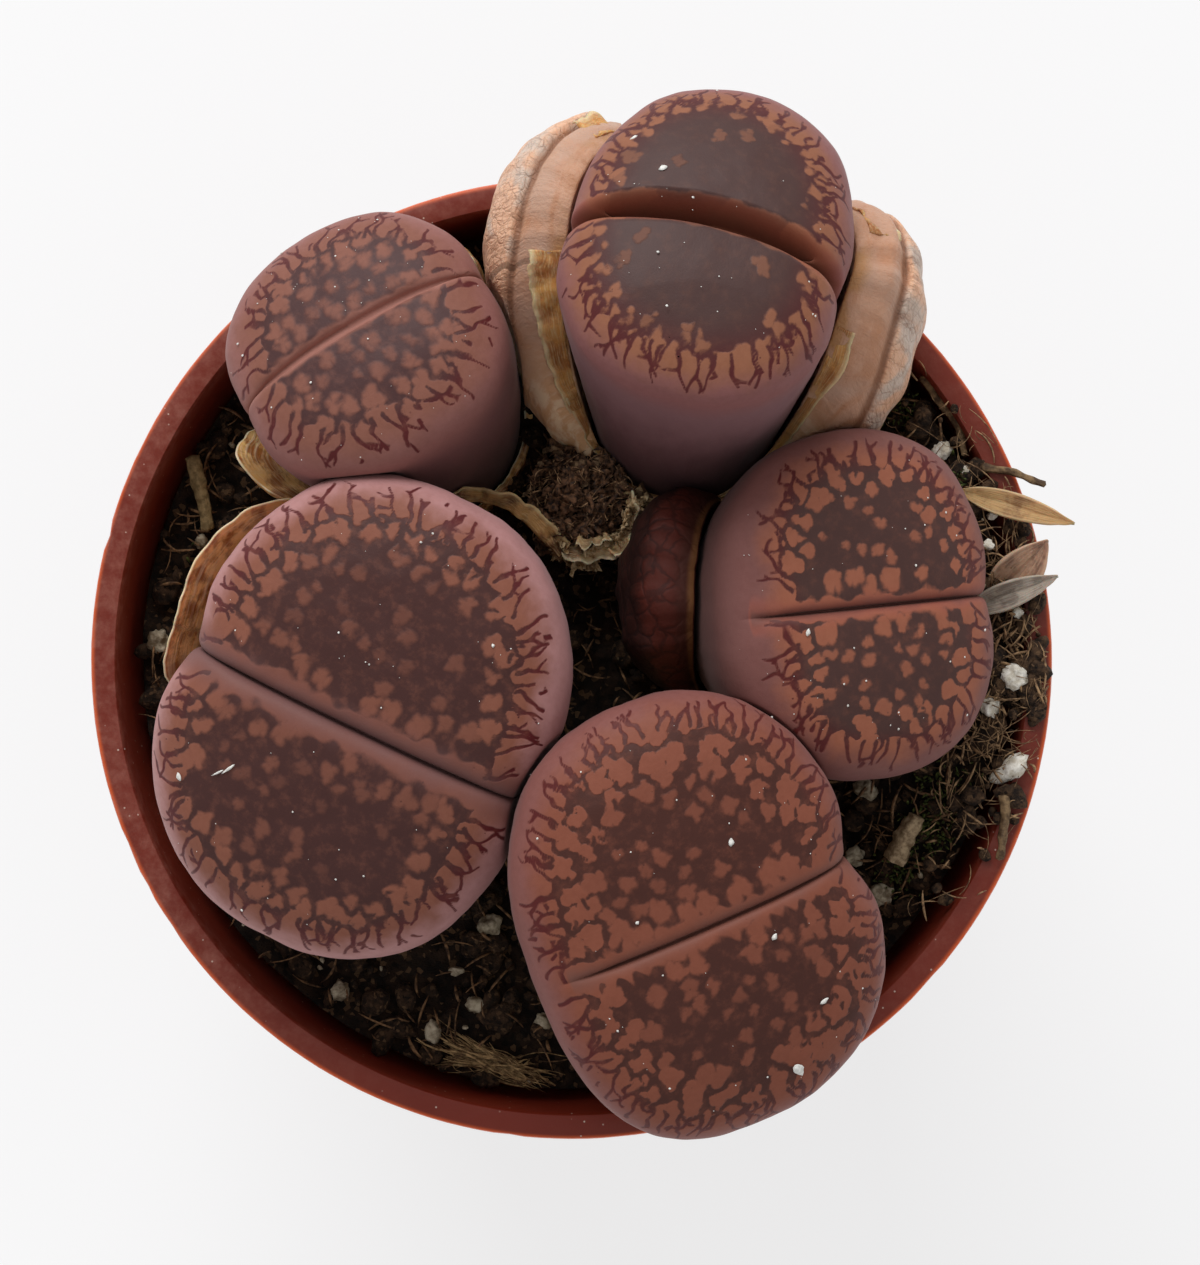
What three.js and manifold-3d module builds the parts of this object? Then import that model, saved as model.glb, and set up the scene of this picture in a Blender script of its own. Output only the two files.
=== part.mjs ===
// A clump of five lithops (living stones) in a round plastic nursery pot.
// Millimetres, +Z up, origin at the centre of the pot's underside, where it stands.
// Each head is a pair of fused leaves: a blunt cone with a domed face that a fissure splits in two.
import * as THREE from "three";
import { mergeVertices } from "three/addons/utils/BufferGeometryUtils.js";
import Module from "manifold-3d";

const wasm = await Module();
wasm.setup();

const rad = THREE.MathUtils.degToRad;
const lerp = THREE.MathUtils.lerp;
const smooth = THREE.MathUtils.smoothstep;
const vec = (x, y, z) => new THREE.Vector3(x, y, z);

// ---- pot ----
const RIM_RADIUS = 35;
const POT_HEIGHT = 62;
const WALL = 1.0;
const RIM_WIDTH = 1.9;
const RIM_THICKNESS = 1.0;
const COLLAR_HEIGHT = 8;
const COLLAR_TAPER = 0.5;
const COLLAR_STEP = 0.8;
const FOOT_RADIUS = 24.5;
const FOOT_WIDTH = 2;
const FOOT_ROUND = 1.0;
const CHANNEL_DEPTH = 1.2; // clearance under the floor between foot ring and centre pad
const PAD_RADIUS = 8;
const FLOOR = 1.2;
const DRAIN_HOLES = 8;
const DRAIN_RADIUS = 1.9;
const DRAIN_CIRCLE = 16;
const POT_SIDES = 48;

// ---- what fills it ----
const GAP = 0.3; // clearance between pieces that touch
const SOIL_TOP = POT_HEIGHT - 6.5;
const SOIL_MOUND = 7.0; // how much higher the soil is heaped at the right
const SHEET = 0.6; // thinnest dry skin
const RIM_SPREAD = 2; // how fast a leaf that leans on the rim widens above it
const PRESS_ROOM = 2.1; // room that a head leaves for its old leaves between it and the wall

// ---- heads ----
// face: top of the dome. fissure: its direction in plan. lean: how far the axis tips, towards which side.
// half: half length along the fissure. lobes: reach of the two leaves to either side of it.
// dome: height of the face above the widest outline. ends: 1 where the fissure notches the outline, 0 where
// it dies away before the shoulder. lip, depth, gap: rounding, depth and mid width of the fissure.
// skew and power: how far each leaf leans sideways, and how square its outline is. bulge: bow of the
// fissure. base: radius of the foot. taper: 1 for a straight cone, more for a body that stays full.
const HEADS = {
  head_back_left: {
    face: [-15.6, 23.4, 73.5], fissure: 30, lean: 21, towards: 125,
    half: 10.1, lobes: [9.6, 9.6], skew: [0.4, 0.6], power: [2.2, 2.4], bulge: 0.3,
    dome: 4.4, height: 25, base: 6.6, taper: 1.4, lip: 1.9, depth: 2.4, gap: 0.9, ends: [1, 1],
  },
  head_back_right: {
    face: [9.6, 29.8, 80.5], fissure: -14, lean: 26, towards: 84,
    half: 10.2, lobes: [13.9, 11.2], skew: [0, 0.4], power: [2.2, 2.3], bulge: 1.8,
    dome: 5.0, height: 30, base: 6.2, taper: 1.1, lip: 1.8, depth: 4.0, gap: 1.6, ends: [1, 1],
  },
  head_right: {
    face: [21.4, 3.8, 73.0], fissure: 6, lean: 18, towards: 8,
    half: 10.6, lobes: [12.8, 12.3], skew: [0.6, 0.2], power: [2.3, 2.3], bulge: 0,
    dome: 4.4, height: 25, base: 5.8, taper: 1.4, lip: 1.6, depth: 2.0, gap: 0.2, ends: [0, 1],
  },
  head_front_left: {
    face: [-15.7, -4.8, 75.5], fissure: -25.3, lean: 8, towards: 215,
    half: 14.0, lobes: [17.6, 16.9], skew: [-0.2, 0.8], power: [2.35, 2.3], bulge: 0,
    dome: 5.6, height: 27, base: 7.0, taper: 1.4, lip: 2.2, depth: 2.8, gap: 0.2, ends: [1, 1],
  },
  head_front_right: {
    face: [9.8, -18.7, 78.5], fissure: 22.6, lean: 11, towards: -38,
    half: 12.6, lobes: [16.1, 15.4], skew: [0.4, -1.3], power: [2.3, 2.5], bulge: 0,
    dome: 5.4, height: 28, base: 6.4, taper: 1.4, lip: 1.5, depth: 2.2, gap: 0.2, ends: [0, 1],
  },
};
const DOME_POWER = 2.5; // power of a head's section, flatter than a ball
const CAP_SHARE = 0.7; // share of a head's rings that lies on the face and shoulder
const FINE = { rows: [0.022, 0.07, 0.135, 0.22, 0.34, 0.48, 0.62, 0.76, 0.89, 1], columns: 20 };
const PLAIN = { rows: [0.15, 0.4, 0.65, 0.85, 1], columns: 12 }; // enough for a hole round the foot

// Turns a head's own frame (x along the fissure, z up its axis, origin on the face) into the pot's.
function headFrame(head) {
  const hinge = vec(-Math.sin(rad(head.towards)), Math.cos(rad(head.towards)), 0);
  return new THREE.Matrix4()
    .makeTranslation(...head.face)
    .multiply(new THREE.Matrix4().makeRotationAxis(hinge, rad(head.lean)))
    .multiply(new THREE.Matrix4().makeRotationZ(rad(head.fissure)));
}

// Radius of a head's widest outline in a direction of its own frame.
function outline(head, angle) {
  const lobe = Math.sin(angle) < 0 ? 1 : 0;
  const along = Math.abs(Math.cos(angle)) / head.half;
  const across = Math.abs(Math.sin(angle)) / head.lobes[lobe];
  const power = head.power[lobe];
  return (along ** power + across ** power) ** (-1 / power);
}

// Section of a head at share s, 0 in the middle of the face and 1 at the foot of the body: share of the
// outline's radius, distance below the top, and share of the way down the side.
function section(head, s) {
  const side = Math.max(0, (s - CAP_SHARE) / (1 - CAP_SHARE));
  if (side > 0) return { out: 1, down: lerp(head.dome, head.height, side), side };
  const w = s / CAP_SHARE;
  const up = 1 - w ** 3;
  const size = (w ** DOME_POWER + up ** DOME_POWER) ** (1 / DOME_POWER);
  return { out: w / size, down: head.dome * (1 - up / size), side };
}

// Radius of a head's body in a direction, at a share of the way down its side.
const sideRadius = (head, angle, side) => lerp(outline(head, angle), head.base, side ** head.taper);

// How open the fissure is at a point: 1 in the middle, less at its two ends and down the side.
function fissureReach(head, u, out, side) {
  const dying = 1 - smooth(out, 0.5, 0.92);
  const notched = lerp(1, 0.55, smooth(out, 0.6, 1)) * (1 - smooth(side, 0.05, 0.7));
  return lerp(dying, notched, head.ends[u < 0 ? 0 : 1]);
}

// Rolls the leaf's edge over a quarter ellipse into the fissure.
function foldIn(head, p, u, out, side) {
  const reach = fissureReach(head, u, out, side);
  const lip = head.lip * (0.5 + 0.5 * reach);
  const away = Math.abs(p.y);
  if (away >= lip || reach <= 0) return;
  const roll = ((away / lip) * Math.PI) / 2;
  const half = (head.gap / 2) * reach * (1 - out * out);
  const rolled = half + (lip - half) * (1 - Math.cos(roll));
  const deep = head.depth * reach * (1 - Math.sin(roll));
  const turn = (smooth(out, 0.72, 1) * Math.PI) / 2;
  p.y = Math.sign(p.y) * lerp(away, rolled, Math.min(1, 1.5 * reach));
  p.x -= Math.sign(u) * Math.sin(turn) * deep;
  p.z -= Math.cos(turn) * deep;
}

// A point of a head's skin in its own frame. (u, v) is a square that wraps the body, v = 0 on the fissure.
function headPoint(head, u, v, grow = 0) {
  const a = u * Math.sqrt(1 - (v * v) / 2);
  const b = v * Math.sqrt(1 - (u * u) / 2);
  const s = Math.min(1, Math.hypot(a, b));
  const angle = Math.atan2(b, a);
  const { out, down, side } = section(head, s);
  const radius = out * (sideRadius(head, angle, side) + grow);
  const p = vec(radius * Math.cos(angle), radius * Math.sin(angle), grow * (1 - 2 * side) - down);
  if (grow === 0) foldIn(head, p, u, out, side);
  return lean(head, p, side);
}

// Leans each leaf sideways and bows the fissure, less and less down the side.
function lean(head, p, side) {
  const lower = p.y < 0 ? 1 : 0;
  const lobe = Math.min(1, Math.abs(p.y) / head.lobes[lower]);
  p.x += head.skew[lower] * lobe * lobe * (1 - side);
  p.y += head.bulge * (1 - lobe) * Math.max(0, 1 - (p.x / head.half) ** 2) * (1 - side);
  return p;
}

// ---- surfaces and solids ----
// A closed geometry from rings of points of equal length: each ring is joined to the next,
// and the first and last rings are closed by a cap on their middle point, or to each other.
function ringSurface(rings, joined = false) {
  const count = rings[0].length;
  const points = rings.flat();
  const faces = [];
  const steps = joined ? rings.length : rings.length - 1;
  for (let i = 0; i < steps; i++)
    for (let j = 0; j < count; j++) {
      const a = i * count + j;
      const b = i * count + ((j + 1) % count);
      const c = ((i + 1) % rings.length) * count + ((j + 1) % count);
      const d = ((i + 1) % rings.length) * count + j;
      faces.push(a, b, c, a, c, d);
    }
  if (!joined) {
    const [low, high] = [points.length, points.length + 1];
    points.push(middle(rings[0]), middle(rings.at(-1)));
    const last = (rings.length - 1) * count;
    for (let j = 0; j < count; j++) {
      faces.push(low, (j + 1) % count, j);
      faces.push(high, last + j, last + ((j + 1) % count));
    }
  }
  return indexed(points, faces);
}

const middle = (ring) => ring.reduce((sum, p) => sum.add(p), vec(0, 0, 0)).divideScalar(ring.length);

function indexed(points, faces) {
  const geometry = new THREE.BufferGeometry();
  geometry.setAttribute("position", new THREE.Float32BufferAttribute(points.flatMap((p) => p.toArray()), 3));
  geometry.setIndex(faces);
  return geometry;
}

// A manifold solid from any closed geometry, turned right side out.
function solidOf(geometry) {
  const bare = geometry.clone();
  bare.deleteAttribute("normal");
  bare.deleteAttribute("uv");
  const merged = mergeVertices(bare, 1e-4);
  const index = merged.index.array;
  const corners = [];
  for (let i = 0; i < index.length; i += 3) {
    const [a, b, c] = index.slice(i, i + 3);
    if (a !== b && b !== c && a !== c) corners.push([a, b, c]);
  }
  const build = (triangles) =>
    new wasm.Manifold(
      new wasm.Mesh({
        numProp: 3,
        vertProperties: new Float32Array(merged.attributes.position.array),
        triVerts: new Uint32Array(triangles.flat()),
      }),
    );
  const solid = build(corners);
  return solid.volume() > 0 ? solid : build(corners.map(([a, b, c]) => [a, c, b]));
}

function geometryOf(solid) {
  const mesh = solid.getMesh();
  const geometry = new THREE.BufferGeometry();
  geometry.setAttribute("position", new THREE.BufferAttribute(new Float32Array(mesh.vertProperties), 3));
  geometry.setIndex(new THREE.BufferAttribute(new Uint32Array(mesh.triVerts), 1));
  return geometry;
}

const united = (solids) => solids.reduce((sum, next) => sum.add(next));
const largestBody = (solid) => solid.decompose().sort((p, q) => q.volume() - p.volume())[0];

// A repeatable draw of numbers from 0 to 1.
function seeded(seed) {
  let state = seed;
  return () => {
    state = (Math.imul(state, 1664525) + 1013904223) >>> 0;
    return state / 2 ** 32;
  };
}

// Waves that stand in for chance where a surface is uneven, between -1 and 1.
function ripple(x, y, step) {
  const [p, q] = [x / step, y / step];
  return Math.sin(p + 1.7 * Math.sin(q)) * Math.cos(0.8 * q + 1.3 * Math.sin(0.7 * p));
}

// Draws what would cross the pot's wall in towards its axis, and lets it spread again above the rim.
// spare: further room that is left for what lies round the piece.
function keepInPot(geometry, spare) {
  const place = geometry.attributes.position;
  const wall = RIM_RADIUS - RIM_WIDTH - 1.5 * GAP - spare;
  for (let i = 0; i < place.count; i++) {
    const p = vec(0, 0, 0).fromBufferAttribute(place, i);
    const limit = wall + RIM_SPREAD * Math.max(0, p.z - POT_HEIGHT - 1.5 * GAP - spare);
    const shrink = Math.min(1, limit / Math.hypot(p.x, p.y));
    place.setXYZ(i, p.x * shrink, p.y * shrink, p.z);
  }
  return geometry;
}

// ---- pieces: heads ----
function headSolid(head, grow = 0, grid = FINE) {
  const rows = [...grid.rows.map((v) => -v).reverse(), 0, ...grid.rows];
  const wide = grid.columns + 1;
  const columns = Array.from({ length: wide }, (_, i) => (2 * i) / grid.columns - 1);
  const points = rows.flatMap((v) => columns.map((u) => headPoint(head, u, v, grow)));
  const faces = [];
  for (let j = 0; j < rows.length - 1; j++)
    for (let i = 0; i < grid.columns; i++) {
      const a = j * wide + i;
      faces.push(a, a + 1, a + wide + 1, a, a + wide + 1, a + wide);
    }
  const edge = gridEdge(rows.length, wide);
  const tip = points.push(vec(0, 0, -head.height - 0.5 * head.base - grow)) - 1;
  edge.forEach((a, k) => faces.push(a, tip, edge[(k + 1) % edge.length]));
  return solidOf(keepInPot(indexed(points, faces).applyMatrix4(headFrame(head)), PRESS_ROOM - grow));
}

// Indices round the edge of a grid of points, in order.
function gridEdge(high, wide) {
  const edge = [];
  for (let i = 0; i < wide - 1; i++) edge.push(i);
  for (let j = 0; j < high - 1; j++) edge.push(j * wide + wide - 1);
  for (let i = wide - 1; i > 0; i--) edge.push((high - 1) * wide + i);
  for (let j = high - 1; j > 0; j--) edge.push(j * wide);
  return edge;
}

// ---- pieces: old leaves and dry skins ----
// A husk is a sleeve round a head's body. low: share of the way down the side where its plain edge lies.
// Each lobe rises round its direction in plan: rise, how much higher; flare, how far its edge stands off;
// flesh, how much its middle bulges. foot: where the sleeve starts, well inside the soil.
const HUSKS = {
  old_leaves_back_right: {
    head: "head_back_right", foot: 0.95, low: 0.88, wrinkle: 0.3,
    lobes: [
      { at: 138, width: 55, rise: 0.84, flare: 0.6, flesh: 7.9 },
      { at: 8, width: 52, rise: 0.8, flare: 0.5, flesh: 6.5 },
    ],
  },
  old_leaf_right: {
    head: "head_right", foot: 0.94, low: 0.82, wrinkle: 0.2,
    lobes: [{ at: 168, width: 34, rise: 0.48, flare: 0.2, flesh: 5.0 }],
  },
  dry_sheath_front_left: {
    head: "head_front_left", foot: 0.88, low: 0.76, wrinkle: 0.25,
    lobes: [
      { at: 138, width: 40, rise: 0.6, flare: 2.5, flesh: 0.5 },
      { at: 53, width: 16, rise: 0.54, flare: 2.8, flesh: 0.3 },
    ],
  },
  dry_sheath_back_left: {
    head: "head_back_left", foot: 0.92, low: 0.82, wrinkle: 0.25,
    lobes: [
      { at: 206, width: 24, rise: 0.44, flare: 3.0, flesh: 0.3 },
      { at: 64, width: 16, rise: 0.6, flare: 1.6, flesh: 0.3 },
    ],
  },
};
const HUSK_TURNS = 32;
const HUSK_STEPS = 4;

// Sums the lobes of a husk in a direction of its head's own frame.
function huskShape(husk, head, angle) {
  const shape = { top: husk.low, flare: 0, flesh: 0 };
  for (const lobe of husk.lobes) {
    const off = THREE.MathUtils.euclideanModulo(angle / rad(1) + head.fissure - lobe.at + 180, 360) - 180;
    const weight = Math.exp(-((off / lobe.width) ** 4) * 0.5 - (off / lobe.width) ** 2 * 0.5);
    shape.top -= lobe.rise * weight;
    shape.flare += lobe.flare * weight;
    shape.flesh += lobe.flesh * weight;
  }
  return shape;
}

// A ring of a husk's inner or outer skin, t = 0 at its foot and 1 at its edge.
function huskRing(husk, head, t, outside, grow) {
  return Array.from({ length: HUSK_TURNS }, (_, k) => {
    const angle = (2 * Math.PI * k) / HUSK_TURNS;
    const { top, flare, flesh } = huskShape(husk, head, angle);
    const side = lerp(husk.foot, top, t);
    const crease = husk.wrinkle * t * Math.sin(7 * angle + 3 * t);
    const bulge = Math.max(0, (flesh + crease) * Math.sin(Math.PI * t ** 1.25));
    const off = GAP + 0.05 + flare * t * t + (outside ? SHEET + bulge + grow : 0);
    const down = lerp(head.dome, head.height, side) + grow * (1 - 2 * t);
    const body = sideRadius(head, angle, side);
    const p = lean(head, vec(body * Math.cos(angle), body * Math.sin(angle), -down), side);
    return p.add(vec(off * Math.cos(angle), off * Math.sin(angle), 0));
  });
}

function huskSolid(husk) {
  const head = HEADS[husk.head];
  const steps = Array.from({ length: HUSK_STEPS + 1 }, (_, i) => i / HUSK_STEPS);
  const inner = steps.map((t) => huskRing(husk, head, t, false, 0)).flat();
  const outer = steps.map((t) => huskRing(husk, head, t, true, 0)).reverse().flat();
  const place = (ring, spare) => keepInPot(pointCloud(ring).applyMatrix4(headFrame(head)), spare);
  const rings = [...pointRings(place(inner, SHEET + 0.05)), ...pointRings(place(outer, 0))];
  return solidOf(ringSurface(rings, true));
}

// The husk's outer form, filled and grown, as the room it needs in the soil and beside its neighbours.
function huskRoom(husk) {
  const head = HEADS[husk.head];
  const steps = Array.from({ length: HUSK_STEPS + 1 }, (_, i) => i / HUSK_STEPS);
  const outer = steps.map((t) => huskRing(husk, head, t, true, 1.3 * GAP));
  return solidOf(keepInPot(ringSurface(outer).applyMatrix4(headFrame(head)), -1.3 * GAP));
}

const pointCloud = (points) => indexed(points, []);
function pointRings(cloud) {
  const points = [];
  for (let i = 0; i < cloud.attributes.position.count; i++)
    points.push(vec(0, 0, 0).fromBufferAttribute(cloud.attributes.position, i));
  return Array.from({ length: points.length / HUSK_TURNS }, (_, i) =>
    points.slice(i * HUSK_TURNS, (i + 1) * HUSK_TURNS),
  );
}

// ---- pieces: pot ----
function potProfile(grow = 0) {
  const inner = RIM_RADIUS - RIM_WIDTH;
  const collar = inner + WALL;
  const ledge = POT_HEIGHT - COLLAR_HEIGHT;
  const below = collar - COLLAR_TAPER - COLLAR_STEP;
  const wall = [
    [inner - grow, POT_HEIGHT + grow],
    [RIM_RADIUS + grow, POT_HEIGHT + grow],
    [RIM_RADIUS + grow, POT_HEIGHT - RIM_THICKNESS - grow],
    [collar + grow, POT_HEIGHT - RIM_THICKNESS - grow],
    [collar - COLLAR_TAPER + grow, ledge - grow],
    [below + grow, ledge - grow],
  ];
  if (grow > 0) return [...wall, [inner - COLLAR_TAPER - COLLAR_STEP - grow, ledge - grow], wall[0]];
  return [
    [0, 0],
    [PAD_RADIUS, 0],
    [PAD_RADIUS + 0.3, CHANNEL_DEPTH],
    [FOOT_RADIUS - FOOT_WIDTH, CHANNEL_DEPTH],
    [FOOT_RADIUS - FOOT_WIDTH + 0.3, 0],
    [FOOT_RADIUS - FOOT_ROUND, 0],
    [FOOT_RADIUS - 0.3 * FOOT_ROUND, 0.3 * FOOT_ROUND],
    [FOOT_RADIUS, FOOT_ROUND],
    ...wall.reverse(),
    [inner - COLLAR_TAPER, ledge + WALL],
    [below - WALL, ledge - 0.5 * WALL],
    [FOOT_RADIUS - WALL, CHANNEL_DEPTH + FLOOR + FOOT_ROUND],
    [FOOT_RADIUS - WALL - FOOT_ROUND, CHANNEL_DEPTH + FLOOR],
    [0, CHANNEL_DEPTH + FLOOR],
  ];
}

function lathed(profile) {
  const points = profile.map(([radius, height]) => new THREE.Vector2(radius, height));
  return new THREE.LatheGeometry(points, POT_SIDES).rotateX(Math.PI / 2);
}

function potSolid() {
  let pot = solidOf(lathed(potProfile()));
  for (let i = 0; i < DRAIN_HOLES; i++) {
    const bore = new THREE.CylinderGeometry(DRAIN_RADIUS, DRAIN_RADIUS, 4 * FLOOR, 10).rotateX(Math.PI / 2);
    bore.translate(DRAIN_CIRCLE, 0, CHANNEL_DEPTH + 0.5 * FLOOR).rotateZ((2 * Math.PI * i) / DRAIN_HOLES);
    pot = pot.subtract(solidOf(bore));
  }
  return pot;
}

// ---- pieces: soil ----
const SOIL_SIDES = 36;
const SOIL_RINGS = 7;
const CRUMBS = 44;

// Height of the soil: uneven, and heaped up to the rim at the right.
function soilLevel(x, y) {
  const heap = smooth(x, 12, 30) * Math.exp(-(((y - 4) / 19) ** 4));
  const front = 1.6 * smooth(-y, 8, 28);
  return SOIL_TOP + SOIL_MOUND * heap + front * (1 - heap) + 0.5 * ripple(x, y, 2.6);
}

function soilSolid() {
  const top = RIM_RADIUS - RIM_WIDTH - COLLAR_TAPER - GAP;
  const ledge = POT_HEIGHT - COLLAR_HEIGHT;
  const circle = (radius, height) =>
    Array.from({ length: SOIL_SIDES }, (_, k) => {
      const turn = (2 * Math.PI * k) / SOIL_SIDES;
      const [x, y] = [radius * Math.cos(turn), radius * Math.sin(turn)];
      return vec(x, y, height ?? soilLevel(x, y));
    });
  const floor = CHANNEL_DEPTH + FLOOR + GAP;
  const rings = [
    circle(FOOT_RADIUS - WALL - FOOT_ROUND - GAP, floor),
    circle(FOOT_RADIUS - WALL - GAP, floor + FOOT_ROUND),
    circle(top - COLLAR_STEP - 0.2, ledge - WALL),
  ];
  for (let i = 0; i < SOIL_RINGS; i++) rings.push(circle((top - 0.6) * (1 - i / SOIL_RINGS)));
  return solidOf(ringSurface(rings));
}

// Crumbs, perlite and bits of bark, sunk by half into the soil, thickest on the heap at the right,
// where some have spilled onto the rim.
function crumbs() {
  const draw = seeded(7);
  const list = [];
  while (list.length < CRUMBS) {
    const turn = 2 * Math.PI * draw();
    const reach = lerp(0.6, 1, Math.sqrt(draw())) * (RIM_RADIUS - 1.4);
    const [x, y] = [reach * Math.cos(turn), reach * Math.sin(turn)];
    const size = lerp(1.1, 2.0, draw() ** 2);
    if (x < 10 && draw() < 0.4) continue;
    const spilled = reach > RIM_RADIUS - RIM_WIDTH - 1.6;
    if (spilled && (x < 30 || Math.abs(y - 2) > 11)) continue;
    const stone = new THREE.IcosahedronGeometry(size, 0);
    stone.scale(1, lerp(0.6, 1, draw()), lerp(0.5, 0.8, draw()));
    const bed = spilled ? POT_HEIGHT + GAP : soilLevel(x, y);
    stone.rotateZ(2 * Math.PI * draw()).translate(x, y, bed + 0.3 * size);
    list.push(solidOf(stone));
  }
  return list;
}

// ---- pieces: litter ----
// A tapered stick or blade from one point to another: width and thick are its full size across,
// arch lifts its middle, and grow makes it larger all round.
function blade({ from, to, width, thick, arch = 0, sides = 6, blunt = 0.3 }, grow = 0) {
  const [start, end] = [vec(...from), vec(...to)];
  const along = end.clone().sub(start).normalize();
  const across = vec(-along.y, along.x, 0).normalize();
  const up = along.clone().cross(across).negate();
  const steps = 5;
  const rings = [];
  for (let i = 0; i <= steps; i++) {
    const t = i / steps;
    const full = lerp(blunt, 1, Math.sin(Math.PI * t) ** 0.7);
    const centre = start.clone().lerp(end, t).addScaledVector(along, grow * (2 * t - 1));
    centre.z += arch * Math.sin(Math.PI * t);
    rings.push(
      Array.from({ length: sides }, (_, k) => {
        const turn = (2 * Math.PI * k) / sides;
        return centre
          .clone()
          .addScaledVector(across, ((width * full) / 2 + grow) * Math.cos(turn))
          .addScaledVector(up, (Math.max(thick * full, SHEET) / 2 + grow) * Math.sin(turn));
      }),
    );
  }
  return solidOf(ringSurface(rings));
}

const LITTER = {
  dry_leaf_tan: { from: [28.2, 12.2, 62.6], to: [36.4, 9.8, 63.6], width: 1.9, thick: 0.6, arch: 0.5 },
  dry_leaf_grey: { from: [28.6, 3.5, 62.9], to: [35.2, 6.0, 63.6], width: 2.0, thick: 0.6, arch: 0.4 },
  dry_leaf_brown: { from: [30.8, 4.4, 61.2], to: [34.4, 9.0, 63.2], width: 2.4, thick: 0.6, arch: 0.3 },
  bark_chip: { from: [23.6, -14.9, 59.6], to: [25.3, -11.4, 60.4], width: 2.1, thick: 1.0, blunt: 0.6 },
  twig_back: { from: [25.4, 20.6, 60.4], to: [28.8, 14.8, 61.0], width: 0.8, thick: 0.8, sides: 5 },
  twig_right: { from: [29.8, 14.0, 62.0], to: [34.4, 12.6, 63.2], width: 0.7, thick: 0.7, sides: 5 },
  twig_front: { from: [31.4, -9.8, 62.9], to: [31.0, -14.6, 62.9], width: 0.8, thick: 0.8, sides: 5 },
  straw: { from: [-28.0, 15.0, 57.2], to: [-26.8, 9.4, 56.2], width: 1.1, thick: 0.7, sides: 5 },
};
const LITTER_COLORS = {
  dry_leaf_tan: 0xb08a5c, dry_leaf_grey: 0x8d8479, dry_leaf_brown: 0x7c6a56, bark_chip: 0x8f7a5c,
  twig_back: 0x6d5a44, twig_right: 0x5b4836, twig_front: 0x7d6a50, straw: 0x8b7a58,
};

// A tuft of pale wood fibre lying on the soil at the front.
const FIBRE_CENTRE = [-6.2, -29.2, 57.6];
function fibreTuft(grow = 0) {
  const [x, y, z] = FIBRE_CENTRE;
  const strands = [-36, -19, 3].map((turn, k) => {
    const [dx, dy] = [3.4 * Math.cos(rad(turn)), 3.4 * Math.sin(rad(turn))];
    const shift = 0.35 * (k - 1);
    const ends = { from: [x - dx, y - dy + shift, z], to: [x + dx, y + dy + shift, z + 0.25 * k] };
    return blade({ ...ends, width: 1.1, thick: 0.8, sides: 5, blunt: 0.45 }, grow);
  });
  return united(strands);
}

// The dried flower between the heads: a stalk under a ragged cup with a fibrous crown.
const CAPSULE = [0.8, 11.4];
const CAPSULE_RIM = 4; // the profile's point on its ragged rim
const CAPSULE_PROFILE = [
  [0.9, 52.5],
  [1.0, 56],
  [2.2, 58.2],
  [3.3, 60.2],
  [3.9, 61.6],
  [3.2, 61.4],
  [2.6, 60.9],
  [2.0, 61.9],
  [1.0, 62.6],
];
function capsuleSolid(grow = 0) {
  const rings = CAPSULE_PROFILE.map(([radius, height], i) =>
    Array.from({ length: 16 }, (_, k) => {
      const turn = (2 * Math.PI * k) / 16;
      const atRim = i === CAPSULE_RIM;
      const ragged = atRim ? 0.35 * Math.sin(5 * turn) : 0.12 * Math.sin(3 * turn + i);
      const reach = radius + ragged + grow;
      const lift = atRim ? 0.3 * Math.cos(4 * turn) : 0;
      return vec(CAPSULE[0] + reach * Math.cos(turn), CAPSULE[1] + reach * Math.sin(turn), height + lift);
    }),
  );
  return solidOf(ringSurface(rings));
}

// ---- assembly ----
const group = new THREE.Group();
function add(name, solid, color, roughness) {
  const material = new THREE.MeshStandardMaterial({ color, roughness, metalness: 0 });
  const mesh = new THREE.Mesh(geometryOf(solid), material);
  mesh.name = name;
  group.add(mesh);
}

const HEAD_COLORS = {
  head_back_left: 0x84503f, head_back_right: 0x6f473f, head_right: 0x7f4c3f,
  head_front_left: 0x83503f, head_front_right: 0x93533c,
};
const HUSK_COLORS = {
  old_leaves_back_right: 0xc0906a, old_leaf_right: 0x7a3a2c,
  dry_sheath_front_left: 0xa37a45, dry_sheath_back_left: 0x9c7848,
};

const rim = solidOf(lathed(potProfile(GAP)));
const rooms = Object.fromEntries(Object.entries(HEADS).map(([name, head]) => [name, headSolid(head, GAP)]));
const huskRooms = Object.fromEntries(Object.entries(HUSKS).map(([name, husk]) => [name, huskRoom(husk)]));

add("pot", potSolid(), 0xa23f24, 0.45);

// A head that is pressed by a higher neighbour, or by the rim, gives way to it.
const PRESSED_BY = {
  head_right: ["head_front_right"],
  head_front_left: ["head_front_right"],
  head_back_left: ["head_front_left"],
};
for (const [name, head] of Object.entries(HEADS)) {
  let solid = headSolid(head).subtract(rim);
  for (const other of PRESSED_BY[name] ?? []) solid = solid.subtract(rooms[other]);
  add(name, largestBody(solid), HEAD_COLORS[name], 0.5);
}

const holes = Object.values(HEADS).map((head) => headSolid(head, 1.8 * GAP, PLAIN));
let taken = united([rim, ...Object.values(rooms)]);
let dug = united([rim, ...holes]);

// Keeps a piece's room clear of the pieces laid after it and of the soil.
function take(room) {
  taken = taken.add(room);
  dug = dug.add(room);
}

for (const [name, husk] of Object.entries(HUSKS)) {
  const others = Object.keys(HEADS).filter((other) => other !== husk.head);
  let solid = others.reduce((rest, other) => rest.subtract(rooms[other]), huskSolid(husk)).subtract(rim);
  for (const earlier of Object.keys(HUSKS)) {
    if (earlier === name) break;
    solid = solid.subtract(huskRooms[earlier]);
  }
  add(name, largestBody(solid), HUSK_COLORS[name], 0.7);
  take(huskRooms[name]);
}

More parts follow.
